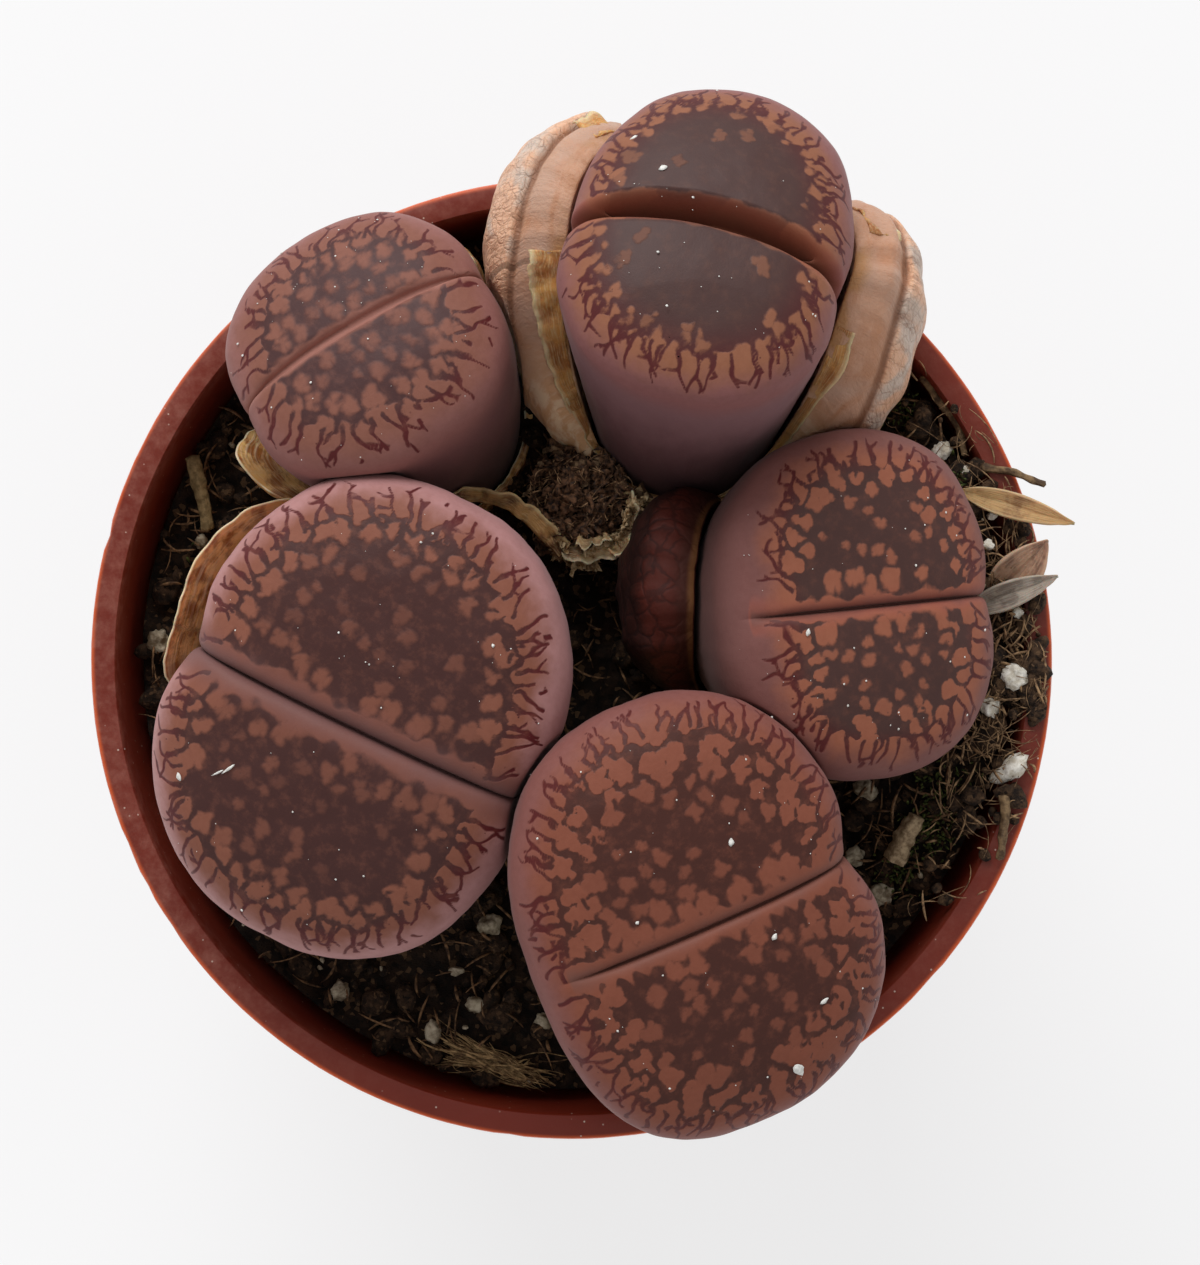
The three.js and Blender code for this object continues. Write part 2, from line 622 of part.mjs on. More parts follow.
add("dried_flower", largestBody(capsuleSolid().subtract(taken)), 0x4a3324, 0.9);
take(capsuleSolid(GAP));
for (const [name, piece] of Object.entries(LITTER)) {
  add(name, largestBody(blade(piece).subtract(taken)), LITTER_COLORS[name], 0.8);
  take(blade(piece, GAP));
}
add("wood_fibre", largestBody(fibreTuft().subtract(taken)), 0x9a8058, 0.9);
take(fibreTuft(GAP));

const soil = united([soilSolid(), ...crumbs()]).subtract(dug);
add("soil", largestBody(soil), 0x2c2119, 0.95);

export default group;
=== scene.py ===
"""Five lithops in a round nursery pot, dressed for close viewing.

Lengths are worked out in millimetres, as on the bench, and set down in metres.
"""
import math
import random

import bmesh
import bpy
import numpy as np
from mathutils import Matrix, Vector, noise


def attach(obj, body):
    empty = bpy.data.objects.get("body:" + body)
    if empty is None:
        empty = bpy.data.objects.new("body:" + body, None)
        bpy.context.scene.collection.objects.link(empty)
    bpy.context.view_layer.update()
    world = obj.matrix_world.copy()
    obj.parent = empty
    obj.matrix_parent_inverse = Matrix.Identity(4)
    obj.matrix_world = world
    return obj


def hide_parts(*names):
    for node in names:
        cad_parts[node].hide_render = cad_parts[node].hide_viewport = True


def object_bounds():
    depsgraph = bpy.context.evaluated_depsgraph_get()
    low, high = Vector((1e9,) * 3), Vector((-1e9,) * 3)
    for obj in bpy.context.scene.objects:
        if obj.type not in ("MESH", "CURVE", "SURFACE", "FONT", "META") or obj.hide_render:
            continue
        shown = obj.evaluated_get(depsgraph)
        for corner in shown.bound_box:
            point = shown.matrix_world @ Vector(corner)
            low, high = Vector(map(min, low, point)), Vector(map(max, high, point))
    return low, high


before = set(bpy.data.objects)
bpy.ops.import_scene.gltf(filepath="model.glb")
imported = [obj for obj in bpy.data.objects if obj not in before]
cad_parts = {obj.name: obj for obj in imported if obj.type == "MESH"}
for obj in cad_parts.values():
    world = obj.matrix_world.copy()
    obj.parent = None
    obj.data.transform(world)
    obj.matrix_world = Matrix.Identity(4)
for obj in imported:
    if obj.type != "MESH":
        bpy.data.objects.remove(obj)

CAD_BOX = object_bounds()
MM = 0.001

# ---- camera, floor and light -----------------------------------------------------------------------
EYE = (2.07, 1.93, 462.0)
LENS = 156.6


def set_up_camera():
    data = bpy.data.cameras.new("camera")
    data.lens = LENS
    camera = bpy.data.objects.new("camera", data)
    camera.location = [value * MM for value in EYE]
    bpy.context.scene.collection.objects.link(camera)
    bpy.context.scene.camera = camera


def area_light(name, place, target, size, power):
    data = bpy.data.lights.new(name, "AREA")
    data.shape = "RECTANGLE"
    data.size, data.size_y = size
    data.energy = power
    lamp = bpy.data.objects.new(name, data)
    lamp.location = place
    lamp.rotation_euler = (Vector(target) - Vector(place)).to_track_quat("-Z", "Y").to_euler()
    bpy.context.scene.collection.objects.link(lamp)


def set_up_light():
    world = bpy.data.worlds.new("studio")
    world.use_nodes = True
    world.node_tree.nodes["Background"].inputs["Color"].default_value = (1.0, 1.0, 1.0, 1)
    world.node_tree.nodes["Background"].inputs["Strength"].default_value = 0.55
    bpy.context.scene.world = world
    bpy.context.scene.view_settings.view_transform = "Standard"
    area_light("window", (-0.2, 0.78, 0.62), (0, 0, 0.06), (0.6, 0.5), 7.2)


# ---- nodes -----------------------------------------------------------------------------------------
def feed(socket, value):
    """Links an input to the socket given as its value, or sets it."""
    if isinstance(value, bpy.types.NodeSocket):
        socket.id_data.links.new(value, socket)
    elif isinstance(value, tuple) and len(value) == 3 and socket.type == "RGBA":
        socket.default_value = (*value, 1)
    else:
        socket.default_value = value


def add(tree, kind, *values, out=0, **settings):
    """One node: values feed its inputs in order, settings its options or its named inputs."""
    made = tree.nodes.new("ShaderNode" + kind)
    named = {}
    for key, value in settings.items():
        if key in made.bl_rna.properties and not isinstance(value, bpy.types.NodeSocket):
            setattr(made, key, value)
        else:
            named[key.replace("_", " ")] = value
    for key, value in named.items():
        feed(made.inputs[key], value)
    for socket, value in zip(made.inputs, values):
        if value is not None:
            feed(socket, value)
    return made.outputs[out]


def tree_of(*values):
    return next(value.id_data for value in values if isinstance(value, bpy.types.NodeSocket))


def calc(operation, *values):
    return add(tree_of(*values), "Math", *values, operation=operation)


def plus(first, second):
    return calc("ADD", first, second)


def minus(first, second):
    return calc("SUBTRACT", first, second)


def times(first, second):
    return calc("MULTIPLY", first, second)


def shift(operation, *values, out=0):
    return add(tree_of(*values), "VectorMath", *values, operation=operation, out=out)


def stretched(place, factors):
    return shift("MULTIPLY", place, factors)


def scaled(vector, factor):
    return shift("SCALE", vector, None, None, factor)


def ramp(value, low, high, start=0.0, end=1.0):
    """Eases from start to end as the value goes from low to high."""
    return add(tree_of(value), "MapRange", value, low, high, start, end, interpolation_type="SMOOTHSTEP")


def mix(share, first, second, blend="MIX"):
    made = tree_of(share, first, second).nodes.new("ShaderNodeMix")
    made.data_type = "RGBA"
    made.blend_type = blend
    for index, value in ((0, share), (6, first), (7, second)):
        feed(made.inputs[index], value)
    return made.outputs[2]


def darkened(share, color, tint):
    return mix(share, color, mix(1.0, color, tint, "MULTIPLY"))


def grain(place, scale, detail=2.0, roughness=0.5, out=0):
    return add(tree_of(place), "TexNoise", Vector=place, Scale=scale, Detail=detail, Roughness=roughness, out=out)


def cells(place, scale, feature="F1", out=0):
    return add(tree_of(place), "TexVoronoi", feature=feature, Vector=place, Scale=scale, out=out)


def warped(place, scale, amount):
    return shift("ADD", place, scaled(grain(place, scale, 2, 0.5, out=1), amount))


def object_mm(tree):
    """Object coordinates in millimetres."""
    return scaled(add(tree, "TexCoord", out="Object"), 1 / MM)


def attribute(tree, name):
    return add(tree, "Attribute", attribute_name=name, out="Vector")


def split(vector):
    parts = tree_of(vector).nodes.new("ShaderNodeSeparateXYZ")
    feed(parts.inputs[0], vector)
    return parts.outputs


def shader(name, roughness=0.5, **fixed):
    """A new material, its tree and its surface, with some of the surface's values fixed."""
    material = bpy.data.materials.new(name)
    material.use_nodes = True
    tree = material.node_tree
    surface = tree.nodes["Principled BSDF"]
    surface.inputs["Roughness"].default_value = roughness
    for key, value in fixed.items():
        surface.inputs[key.replace("_", " ")].default_value = value
    return material, tree, surface


def finish_with(surface, color, roughness=None, height=None, strength=0.5, distance=0.0002):
    feed(surface.inputs["Base Color"], color)
    if roughness is not None:
        feed(surface.inputs["Roughness"], roughness)
    if height is not None:
        bump = add(surface.id_data, "Bump", Strength=strength, Distance=distance, Height=height, out="Normal")
        feed(surface.inputs["Normal"], bump)


def new_group(name, inlets, outlets):
    group = bpy.data.node_groups.new(name, "ShaderNodeTree")
    for inlet, kind, value in inlets:
        socket = group.interface.new_socket(inlet, in_out="INPUT", socket_type="NodeSocket" + kind)
        if value is not None:
            socket.default_value = (*value, 1) if kind == "Color" else value
    for outlet, kind in outlets:
        group.interface.new_socket(outlet, in_out="OUTPUT", socket_type="NodeSocket" + kind)
    start = group.nodes.new("NodeGroupInput")
    end = group.nodes.new("NodeGroupOutput")
    return group, start.outputs, end.inputs


def use_group(tree, group, **values):
    made = tree.nodes.new("ShaderNodeGroup")
    made.node_tree = group
    for key, value in values.items():
        feed(made.inputs[key.replace("_", " ")], value)
    return made.outputs


def tone(red, green, blue):
    """A colour given in display values from 0 to 255, as linear light."""
    return tuple(((v / 255 + 0.055) / 1.055) ** 2.4 if v > 10 else v / 255 / 12.92 for v in (red, green, blue))


# ---- pieces ----------------------------------------------------------------------------------------
def started(name, primitive, **size):
    bpy.ops.object.select_all(action="DESELECT")
    primitive(**size)
    piece = bpy.context.object
    piece.name = piece.data.name = name
    return piece


def started_grid(name, along, across):
    return started(name, bpy.ops.mesh.primitive_grid_add, x_subdivisions=along, y_subdivisions=across, size=2)


def points_of(piece):
    places = np.empty(len(piece.data.vertices) * 3)
    piece.data.vertices.foreach_get("co", places)
    return places.reshape(-1, 3)


def set_points(piece, places):
    piece.data.vertices.foreach_set("co", np.ascontiguousarray(places).ravel())
    piece.data.update()


def set_down(piece, places_mm):
    """Moves the piece's points to places given in millimetres."""
    set_points(piece, places_mm * MM)


def store(piece, name, values):
    layer = piece.data.attributes.new(name, "FLOAT_VECTOR", "POINT")
    layer.data.foreach_set("vector", np.ascontiguousarray(values, dtype=float).ravel())


def edit(piece, *steps):
    bpy.ops.object.select_all(action="DESELECT")
    bpy.context.view_layer.objects.active = piece
    piece.select_set(True)
    bpy.ops.object.mode_set(mode="EDIT")
    for step in steps:
        step()
    bpy.ops.object.mode_set(mode="OBJECT")


def draw_up_border(**settings):
    """Picks the open border of the piece in hand and draws new edges out of it."""
    bpy.ops.mesh.select_all(action="DESELECT")
    bpy.ops.mesh.select_non_manifold()
    bpy.ops.mesh.extrude_edges_move(**settings)


def face_outwards():
    bpy.ops.mesh.select_all(action="SELECT")
    bpy.ops.mesh.remove_doubles(threshold=1e-6)
    bpy.ops.mesh.normals_make_consistent(inside=False)


def apply_modifier(piece, kind, **settings):
    bpy.context.view_layer.objects.active = piece
    modifier = piece.modifiers.new(kind.lower(), kind)
    for key, value in settings.items():
        setattr(modifier, key, value)
    bpy.ops.object.modifier_apply(modifier=modifier.name)


def smooth_shaded(piece):
    piece.data.polygons.foreach_set("use_smooth", [True] * len(piece.data.polygons))


def dress(piece, material, stands_for=None):
    piece.data.materials.clear()
    piece.data.materials.append(material)
    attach(piece, "root")
    if stands_for:
        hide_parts(stands_for)
    return piece


def mesh_piece(name, points_mm, faces):
    mesh = bpy.data.meshes.new(name)
    mesh.from_pydata((np.asarray(points_mm) * MM).tolist(), [], faces)
    mesh.update()
    piece = bpy.data.objects.new(name, mesh)
    bpy.context.scene.collection.objects.link(piece)
    smooth_shaded(piece)
    return piece


def joined(name, parts):
    """One piece made of many small ones, each given as its points and faces."""
    points, faces, count = [], [], 0
    for places, corners in parts:
        points.append(places)
        faces.extend(tuple(i + count for i in face) for face in corners)
        count += len(places)
    return mesh_piece(name, np.concatenate(points), faces)


def ease(value, low, high):
    share = np.clip((value - low) / (high - low), 0, 1)
    return share * share * (3 - 2 * share)


def between(first, second, share):
    return first + (second - first) * share


def square_to_disc(u, v):
    return u * np.sqrt(1 - v**2 / 2), v * np.sqrt(1 - u**2 / 2)


def direction(turn):
    return np.array([math.cos(turn), math.sin(turn)])


def columns(*values):
    """Places, or other rows of three, from their three coordinates."""
    return np.stack(values, axis=1)


def noise_at(places, size, seed=0.0):
    """Smooth noise from -1 to 1 at each place, with features of about this size."""
    shifted = np.asarray(places, dtype=float) / size + seed
    return np.array([noise.noise(Vector(place)) for place in shifted])


def lumps_at(places, size, seed=0.0):
    """Rounded lumps of about this size: 1 on a lump's top, 0 in the seam between lumps."""
    shifted = np.asarray(places, dtype=float) / size + seed
    found = [noise.voronoi(Vector(place))[0] for place in shifted]
    return np.array([min(1.0, distance[1] - distance[0]) for distance in found])


def beside(start, end):
    """The way from start to end, the level direction across it, and the one that stands on both."""
    way = np.array(end) - np.array(start)
    run = way / np.linalg.norm(way)
    over = np.cross((0, 0, 1), run)
    over /= np.linalg.norm(over)
    return way, over, np.cross(run, over)


def bent_path(x, y, heading, length, angle):
    """The course of a fibre through x, y whose direction follows the given angles."""
    return (x + np.cumsum(np.cos(angle)) * length / len(angle) - length / 2 * math.cos(heading),
            y + np.cumsum(np.sin(angle)) * length / len(angle) - length / 2 * math.sin(heading))


def push_along_normals(piece, amount_mm):
    normals = np.empty(len(piece.data.vertices) * 3)
    piece.data.vertex_normals.foreach_get("vector", normals)
    set_points(piece, points_of(piece) + normals.reshape(-1, 3) * amount_mm[:, None] * MM)


# ---- sizes of the solid model, in mm ---------------------------------------------------------------
RIM_RADIUS = 35
POT_HEIGHT = 62
WALL = 1.0
RIM_WIDTH = 1.9
RIM_THICKNESS = 1.0
COLLAR_HEIGHT = 8
COLLAR_TAPER = 0.5
COLLAR_STEP = 0.8
FOOT_RADIUS = 24.5
FOOT_WIDTH = 2
FOOT_ROUND = 1.0
CHANNEL_DEPTH = 1.2
PAD_RADIUS = 8
FLOOR = 1.2
DRAIN_HOLES = 8
DRAIN_RADIUS = 1.9
DRAIN_CIRCLE = 16
GAP = 0.3
SOIL_TOP = 55.5
SOIL_MOUND = 7.0
SOIL_REACH = 31.6
FIBRE_REACH = 32.2
LITTER_REACH = 34.7
SPECKS_PER_HEAD = 60
RIM_SPREAD = 2
PRESS_ROOM = 2.1
SHEET = 0.6

HEADS = {
    "head_back_left": dict(
        face=(-15.6, 23.4, 73.5), fissure=30, lean=21, towards=125, half=10.1, lobes=(9.6, 9.6),
        skew=(0.4, 0.6), power=(2.2, 2.4), bulge=0.3, dome=4.4, height=25, base=6.6, taper=1.4,
        lip=1.1, depth=1.7, soft=0.42, gap=0.9, ends=(1, 1), reach=0.96, less=0.05, plain=145, waist=(0.5, 0.3)),
    "head_back_right": dict(
        face=(9.6, 29.8, 80.5), fissure=-14, lean=26, towards=84, half=10.2, lobes=(13.9, 11.2),
        skew=(0, 0.4), power=(2.2, 2.3), bulge=1.8, dome=5.0, height=30, base=6.2, taper=1.1,
        lip=1.3, depth=4.0, soft=0.85, gap=1.6, ends=(1, 1), reach=0.985, less=0.06, plain=75, waist=(0.3, 0.5)),
    "head_right": dict(
        face=(21.4, 3.8, 73.0), fissure=6, lean=18, towards=8, half=10.6, lobes=(12.8, 12.3),
        skew=(0.6, 0.2), power=(2.3, 2.3), bulge=0, dome=4.4, height=25, base=5.8, taper=1.4,
        lip=1.6, depth=2.0, soft=0.6, gap=0.2, ends=(0, 1), reach=0.95, less=0.2, plain=182, waist=(0, 0.6)),
    "head_front_left": dict(
        face=(-15.7, -4.8, 75.5), fissure=-25.3, lean=8, towards=215, half=14.0, lobes=(17.6, 16.9),
        skew=(-0.2, 0.8), power=(2.35, 2.3), bulge=0, dome=5.6, height=27, base=7.0, taper=1.4,
        lip=2.2, depth=2.8, soft=0.55, gap=0.2, ends=(1, 1), reach=0.975, less=0.05, plain=15, waist=(1.0, 0.4)),
    "head_front_right": dict(
        face=(9.8, -18.7, 78.5), fissure=22.6, lean=11, towards=-38, half=12.6, lobes=(16.1, 15.4),
        skew=(0.4, -1.3), power=(2.3, 2.5), bulge=0, dome=5.4, height=28, base=6.4, taper=1.4,
        lip=1.5, depth=2.2, soft=0.45, gap=0.2, ends=(0, 1), reach=0.985, less=0.03, plain=170, waist=(0, 1.3)),
}
PRESSED_BY = {
    "head_right": ["head_front_right"],
    "head_front_left": ["head_front_right"],
    "head_back_left": ["head_front_left"],
}
DOME_POWER = 2.5
SOFT_LIP = 1.15
CAP_SHARE = 0.7


# ---- shape of a leaf pair --------------------------------------------------------------------------
def head_frame(head):
    towards = math.radians(head["towards"])
    hinge = Vector((-math.sin(towards), math.cos(towards), 0))
    turn = Matrix.Rotation(math.radians(head["lean"]), 3, hinge) @ Matrix.Rotation(
        math.radians(head["fissure"]), 3, "Z")
    return np.array(turn), np.array(head["face"])


def to_pot(head, places):
    turn, face = head_frame(head)
    return places @ turn.T + face


def to_head(head, places):
    turn, face = head_frame(head)
    return (places - face) @ turn


def outline(head, angle):
    lower = np.sin(angle) < 0
    lobe = np.where(lower, head["lobes"][1], head["lobes"][0])
    power = np.where(lower, head["power"][1], head["power"][0])
    return ((abs(np.cos(angle)) / head["half"]) ** power + (abs(np.sin(angle)) / lobe) ** power) ** (-1 / power)


def section(head, s):
    """Share of the outline's radius, drop below the top and share of the way down the side."""
    side = np.clip((s - CAP_SHARE) / (1 - CAP_SHARE), 0, 1)
    w = np.minimum(1, s / CAP_SHARE)
    up = 1 - w**3
    size = (w**DOME_POWER + up**DOME_POWER) ** (1 / DOME_POWER)
    down = np.where(side > 0, between(head["dome"], head["height"], side), head["dome"] * (1 - up / size))
    return w / size, down, side


def side_radius(head, angle, side):
    """Radius of the body below its cap, which narrows to the base as side goes from 0 to 1."""
    return between(outline(head, angle), head["base"], side ** head["taper"])


def fissure_reach(head, u, out, side):
    """How open the fissure is: it dies away before one end of some heads and notches the rest."""
    dying = 1 - ease(out, 0.5, 0.92)
    notched = between(1, 0.55, ease(out, 0.6, 1)) * (1 - ease(side, 0.05, 0.7))
    return between(dying, notched, np.where(u < 0, head["ends"][0], head["ends"][1]))


def fold_in(head, p, u, out, side):
    """Rolls the leaf's edge over a quarter ellipse into the fissure."""
    reach = fissure_reach(head, u, out, side)
    lip = head["lip"] * SOFT_LIP * (0.5 + 0.5 * reach)
    away = abs(p[:, 1])
    folded = (away < lip) & (reach > 0)
    roll = np.minimum(1, away / lip) * math.pi / 2
    half = 0.35 * head["gap"] * reach * (1 - out**2)
    rolled = half + (lip - half) * (1 - np.cos(roll))
    narrow = 1.9 if head["gap"] < 1 else 1.0
    deep = np.where(folded, head["depth"] * head["soft"] * reach * (1 - np.sin(roll)) ** narrow, 0)
    turn = ease(out, 0.72, 1) * math.pi / 2
    p[:, 1] = np.where(folded, np.sign(p[:, 1]) * between(away, rolled, np.minimum(1, 1.5 * reach)), p[:, 1])
    p[:, 0] -= np.sign(u) * np.sin(turn) * 1.4 * deep
    p[:, 2] -= np.cos(turn) * deep
    return p


def lean(head, p, side):
    """Leans each leaf sideways, bows the fissure and draws its ends in, less and less down the side."""
    lower = p[:, 1] < 0
    lobe = np.minimum(1, abs(p[:, 1]) / np.where(lower, head["lobes"][1], head["lobes"][0]))
    p[:, 0] += np.where(lower, head["skew"][1], head["skew"][0]) * lobe**2 * (1 - side)
    bow = np.maximum(0, 1 - (p[:, 0] / head["half"]) ** 2)
    waist = np.where(p[:, 0] < 0, *head["waist"]) * np.exp(-((p[:, 1] / 3.2) ** 2)) * (1 - side)
    p[:, 0] -= waist * (p[:, 0] / head["half"]) ** 3
    p[:, 1] += head["bulge"] * (1 - lobe) * bow * (1 - side)
    return p


def kept_in_pot(p, spare):
    """Draws points that would cross the pot's wall towards its axis, and spreads them above the rim."""
    wall = RIM_RADIUS - RIM_WIDTH - 1.5 * GAP - spare
    above = p[:, 2] - POT_HEIGHT - 1.5 * GAP - spare
    above = np.where(spare > 1, 0.5 * (above + np.sqrt(above**2 + 2.0)) - 0.2, np.maximum(0, above))
    limit = wall + RIM_SPREAD * above
    shrink = np.minimum(1, limit / np.hypot(p[:, 0], p[:, 1]))
    return p * columns(shrink, shrink, np.ones(len(p)))


def room_in(head, places):
    """How far places lie inside a leaf pair's body, and where they are in its own frame."""
    p = to_head(head, places)
    down = -p[:, 2]
    angle = np.arctan2(p[:, 1], p[:, 0])
    rise = np.clip(1 - down / head["dome"], 0, 1)
    cap = (1 - rise**DOME_POWER) ** (1 / DOME_POWER) * outline(head, angle)
    side = np.clip((down - head["dome"]) / (head["height"] - head["dome"]), 0, 1)
    body = np.where(down > head["dome"], side_radius(head, angle, side), cap)
    body = np.where(down < 0, -9.0, body)
    return body - np.hypot(p[:, 0], p[:, 1]), p


def pressed(places, other, soft=0.25):
    """Gives way to a neighbour: points inside its body move out to its skin."""
    head = HEADS[other]
    inside, p = room_in(head, places)
    depth = np.maximum(inside + GAP, -4)
    push = 0.5 * (depth + np.sqrt(depth**2 + soft**2))
    push = np.where(depth > -4 * soft, push, 0)
    radius = np.maximum(1e-6, np.hypot(p[:, 0], p[:, 1]))
    p[:, 0] *= 1 + push / radius
    p[:, 1] *= 1 + push / radius
    return to_pot(head, p)


def flat_reach(head):
    """Length along the skin from the middle of the face, as a share of the outline, against s and out."""
    s = np.linspace(0, 1, 600)
    out, down, _ = section(head, s)
    mean = (2 * head["half"] + head["lobes"][0] + head["lobes"][1]) / 4
    steps = np.hypot(np.diff(out), np.diff(down) / mean)
    return s, np.maximum.accumulate(out), np.concatenate([[0], np.cumsum(steps)])


# ---- markings of a leaf pair -----------------------------------------------------------------------
# cell: spacing of the islands; first: how far in the outermost ones begin; ring: depth of the full ring;
# inner: how full the row by the fissure is; stay: share of islands left beyond the ring; finger: how far
# they stretch outwards; line: half width of the dark lines; band: plain skin by the fissure; edge: how
# uneven it is; big: added size; faint: how much the islands in the windows fade; joined: share that run
# into a neighbour; fused: how far in only lines part them; apart: least room between the long lines;
# inlets, strays: how many short lines.
MARKINGS = {
    "head_back_left": dict(
        seed=11, cell=1.2, big=-0.01, first=2.0, ring=5.0, inner=0.6, stay=0.85, finger=1.25, fused=1.6, line=0.15,
        apart=0.75, band=0.7, edge=0.25, faint=0.5, joined=0.55, inlets=15, strays=10),
    "head_back_right": dict(
        seed=37, cell=1.2, big=0.1, first=1.7, ring=2.4, inner=0.12, stay=0.08, finger=2.1, fused=1.6, line=0.14,
        apart=0.6, band=1.25, edge=0.05, faint=0.65, joined=0.1, inlets=0, strays=2),
    "head_right": dict(
        seed=53, cell=1.15, big=0.04, first=1.3, ring=3.8, inner=0.9, stay=0.55, finger=1.1, fused=1.6, line=0.14,
        apart=0.6, band=1.1, edge=0.3, faint=0.2, joined=0.35, inlets=40, strays=8),
    "head_front_left": dict(
        seed=71, cell=1.25, big=0.08, first=1.8, ring=4.6, inner=0.6, stay=0.42, finger=1.25, fused=1.8, line=0.16,
        apart=0.6, band=1.8, edge=0.35, faint=0.6, joined=0.45, inlets=60, strays=8),
    "head_front_right": dict(
        seed=97, cell=1.3, big=0.1, first=1.7, ring=6.0, inner=0.9, stay=0.72, finger=1.2, fused=1.5, line=0.15,
        apart=0.5, band=1.3, edge=0.4, faint=0.35, joined=0.55, inlets=80, strays=12),
}
CHUNK = 4000


def ripples(x, y, size, seed, waves=7):
    """Smooth unevenness from about -1 to 1: a few crossed waves of about this length."""
    draw = random.Random(seed)
    total = 0
    for _ in range(waves):
        turn = draw.uniform(0, 2 * math.pi)
        length = size * draw.uniform(0.7, 1.5)
        run = x * math.cos(turn) + y * math.sin(turn)
        total = total + np.sin(run * 2 * math.pi / length + draw.uniform(0, 2 * math.pi))
    return total * 1.4 / waves


def markings_end(head, angle):
    """Length along the skin, from the middle of the face, at which the markings end."""
    _, outs, reach = flat_reach(head)
    off = (np.degrees(angle) - head["plain"] + 180) % 360 - 180
    return np.interp(head["reach"] - head["less"] * np.exp(-((off / 48) ** 2)), outs, reach) * outline(head, angle)


def shore_depth(head, x, y):
    """How far a place on the flat map lies inside the line at which the markings end."""
    return markings_end(head, np.arctan2(y, x)) - np.hypot(x, y)


def island_centres(head, look, draw):
    """Seeded places, kept apart from each other, from the edge of the plain margin inwards."""
    found = np.empty((0, 2))
    limit = head["half"] + head["lobes"][0]
    tried = np.array([[draw.uniform(-limit, limit), draw.uniform(-limit, limit)] for _ in range(9000)])
    fits = (shore_depth(head, *tried.T) > look["first"]) & (abs(tried[:, 1]) > look["band"] + 0.4)
    for place in tried[fits]:
        crowded = 0.66 if shore_depth(head, *place) < look["first"] + 0.8 else 0.85
        gap = look["cell"] * (crowded + 0.4 * draw.random())
        if not len(found) or np.hypot(*(found - place).T).min() > gap:
            found = np.vstack([found, place])
    return found


def islands(head, look, draw):
    """Each island is a disc with lobes: places, radii, how clearly each one shows, and which ones are joined."""
    discs, radii, shows = [], [], []
    for x, y in island_centres(head, look, draw):
        inward = float(shore_depth(head, x, y)) - look["first"]
        fill = 1 - ease(inward, look["ring"] * 0.5, look["ring"] * 1.1)
        fill = max(fill, look["inner"] * (1 - ease(abs(y) - look["band"], 0.6, 2.6)))
        if draw.random() > look["stay"] + (1 - look["stay"]) * fill * 1.4:
            continue
        size = look["cell"] * (0.2 + look["big"] + 0.2 * draw.random() + 0.26 * fill)
        outward = np.array([x, y]) / math.hypot(x, y)
        start = draw.uniform(0, 2 * math.pi)
        own, sizes = [(x, y)], [0.66 * size]
        for k in range(5):
            turn, far = start + 1.257 * k + draw.uniform(-0.4, 0.4), size * draw.uniform(0.36, 0.74)
            off = far * direction(turn)
            off += (look["finger"] - 1) * (off @ outward) * outward
            own.append((x + off[0], y + off[1]))
            sizes.append(size * draw.uniform(0.4, 0.6))
        discs.append(own)
        radii.append(sizes)
        shows.append(1 - look["faint"] * (1 - fill) * draw.uniform(0.6, 1.15))
    discs = np.array(discs)
    kin = np.arange(len(discs))
    for i in range(len(discs)):
        if draw.random() < look["joined"]:
            away = np.hypot(*(discs[:, 0] - discs[i, 0]).T)
            away[kin == kin[i]] = 99
            kin[kin == kin[i]] = kin[int(np.argmin(away))]
    return discs, np.array(radii), np.array(shows), kin


def island_depth(x, y, discs, radii, kin, gap, spare):
    """Depth inside the nearest island, which keeps clear of the next one, and which island that is."""
    depth, owner = np.empty(len(x)), np.empty(len(x), int)
    for start in range(0, len(x), CHUNK):
        part = slice(start, start + CHUNK)
        away = np.hypot(x[part, None, None] - discs[None, :, :, 0], y[part, None, None] - discs[None, :, :, 1])
        away = (away - radii[None]).min(axis=2)
        owner[part] = away.argmin(axis=1)
        first = away.min(axis=1)
        second = np.where(kin == kin[owner[part], None], 99, away).min(axis=1)
        depth[part] = np.minimum((second - first) / 2 - gap[part], spare[part] - first)
    return depth, owner


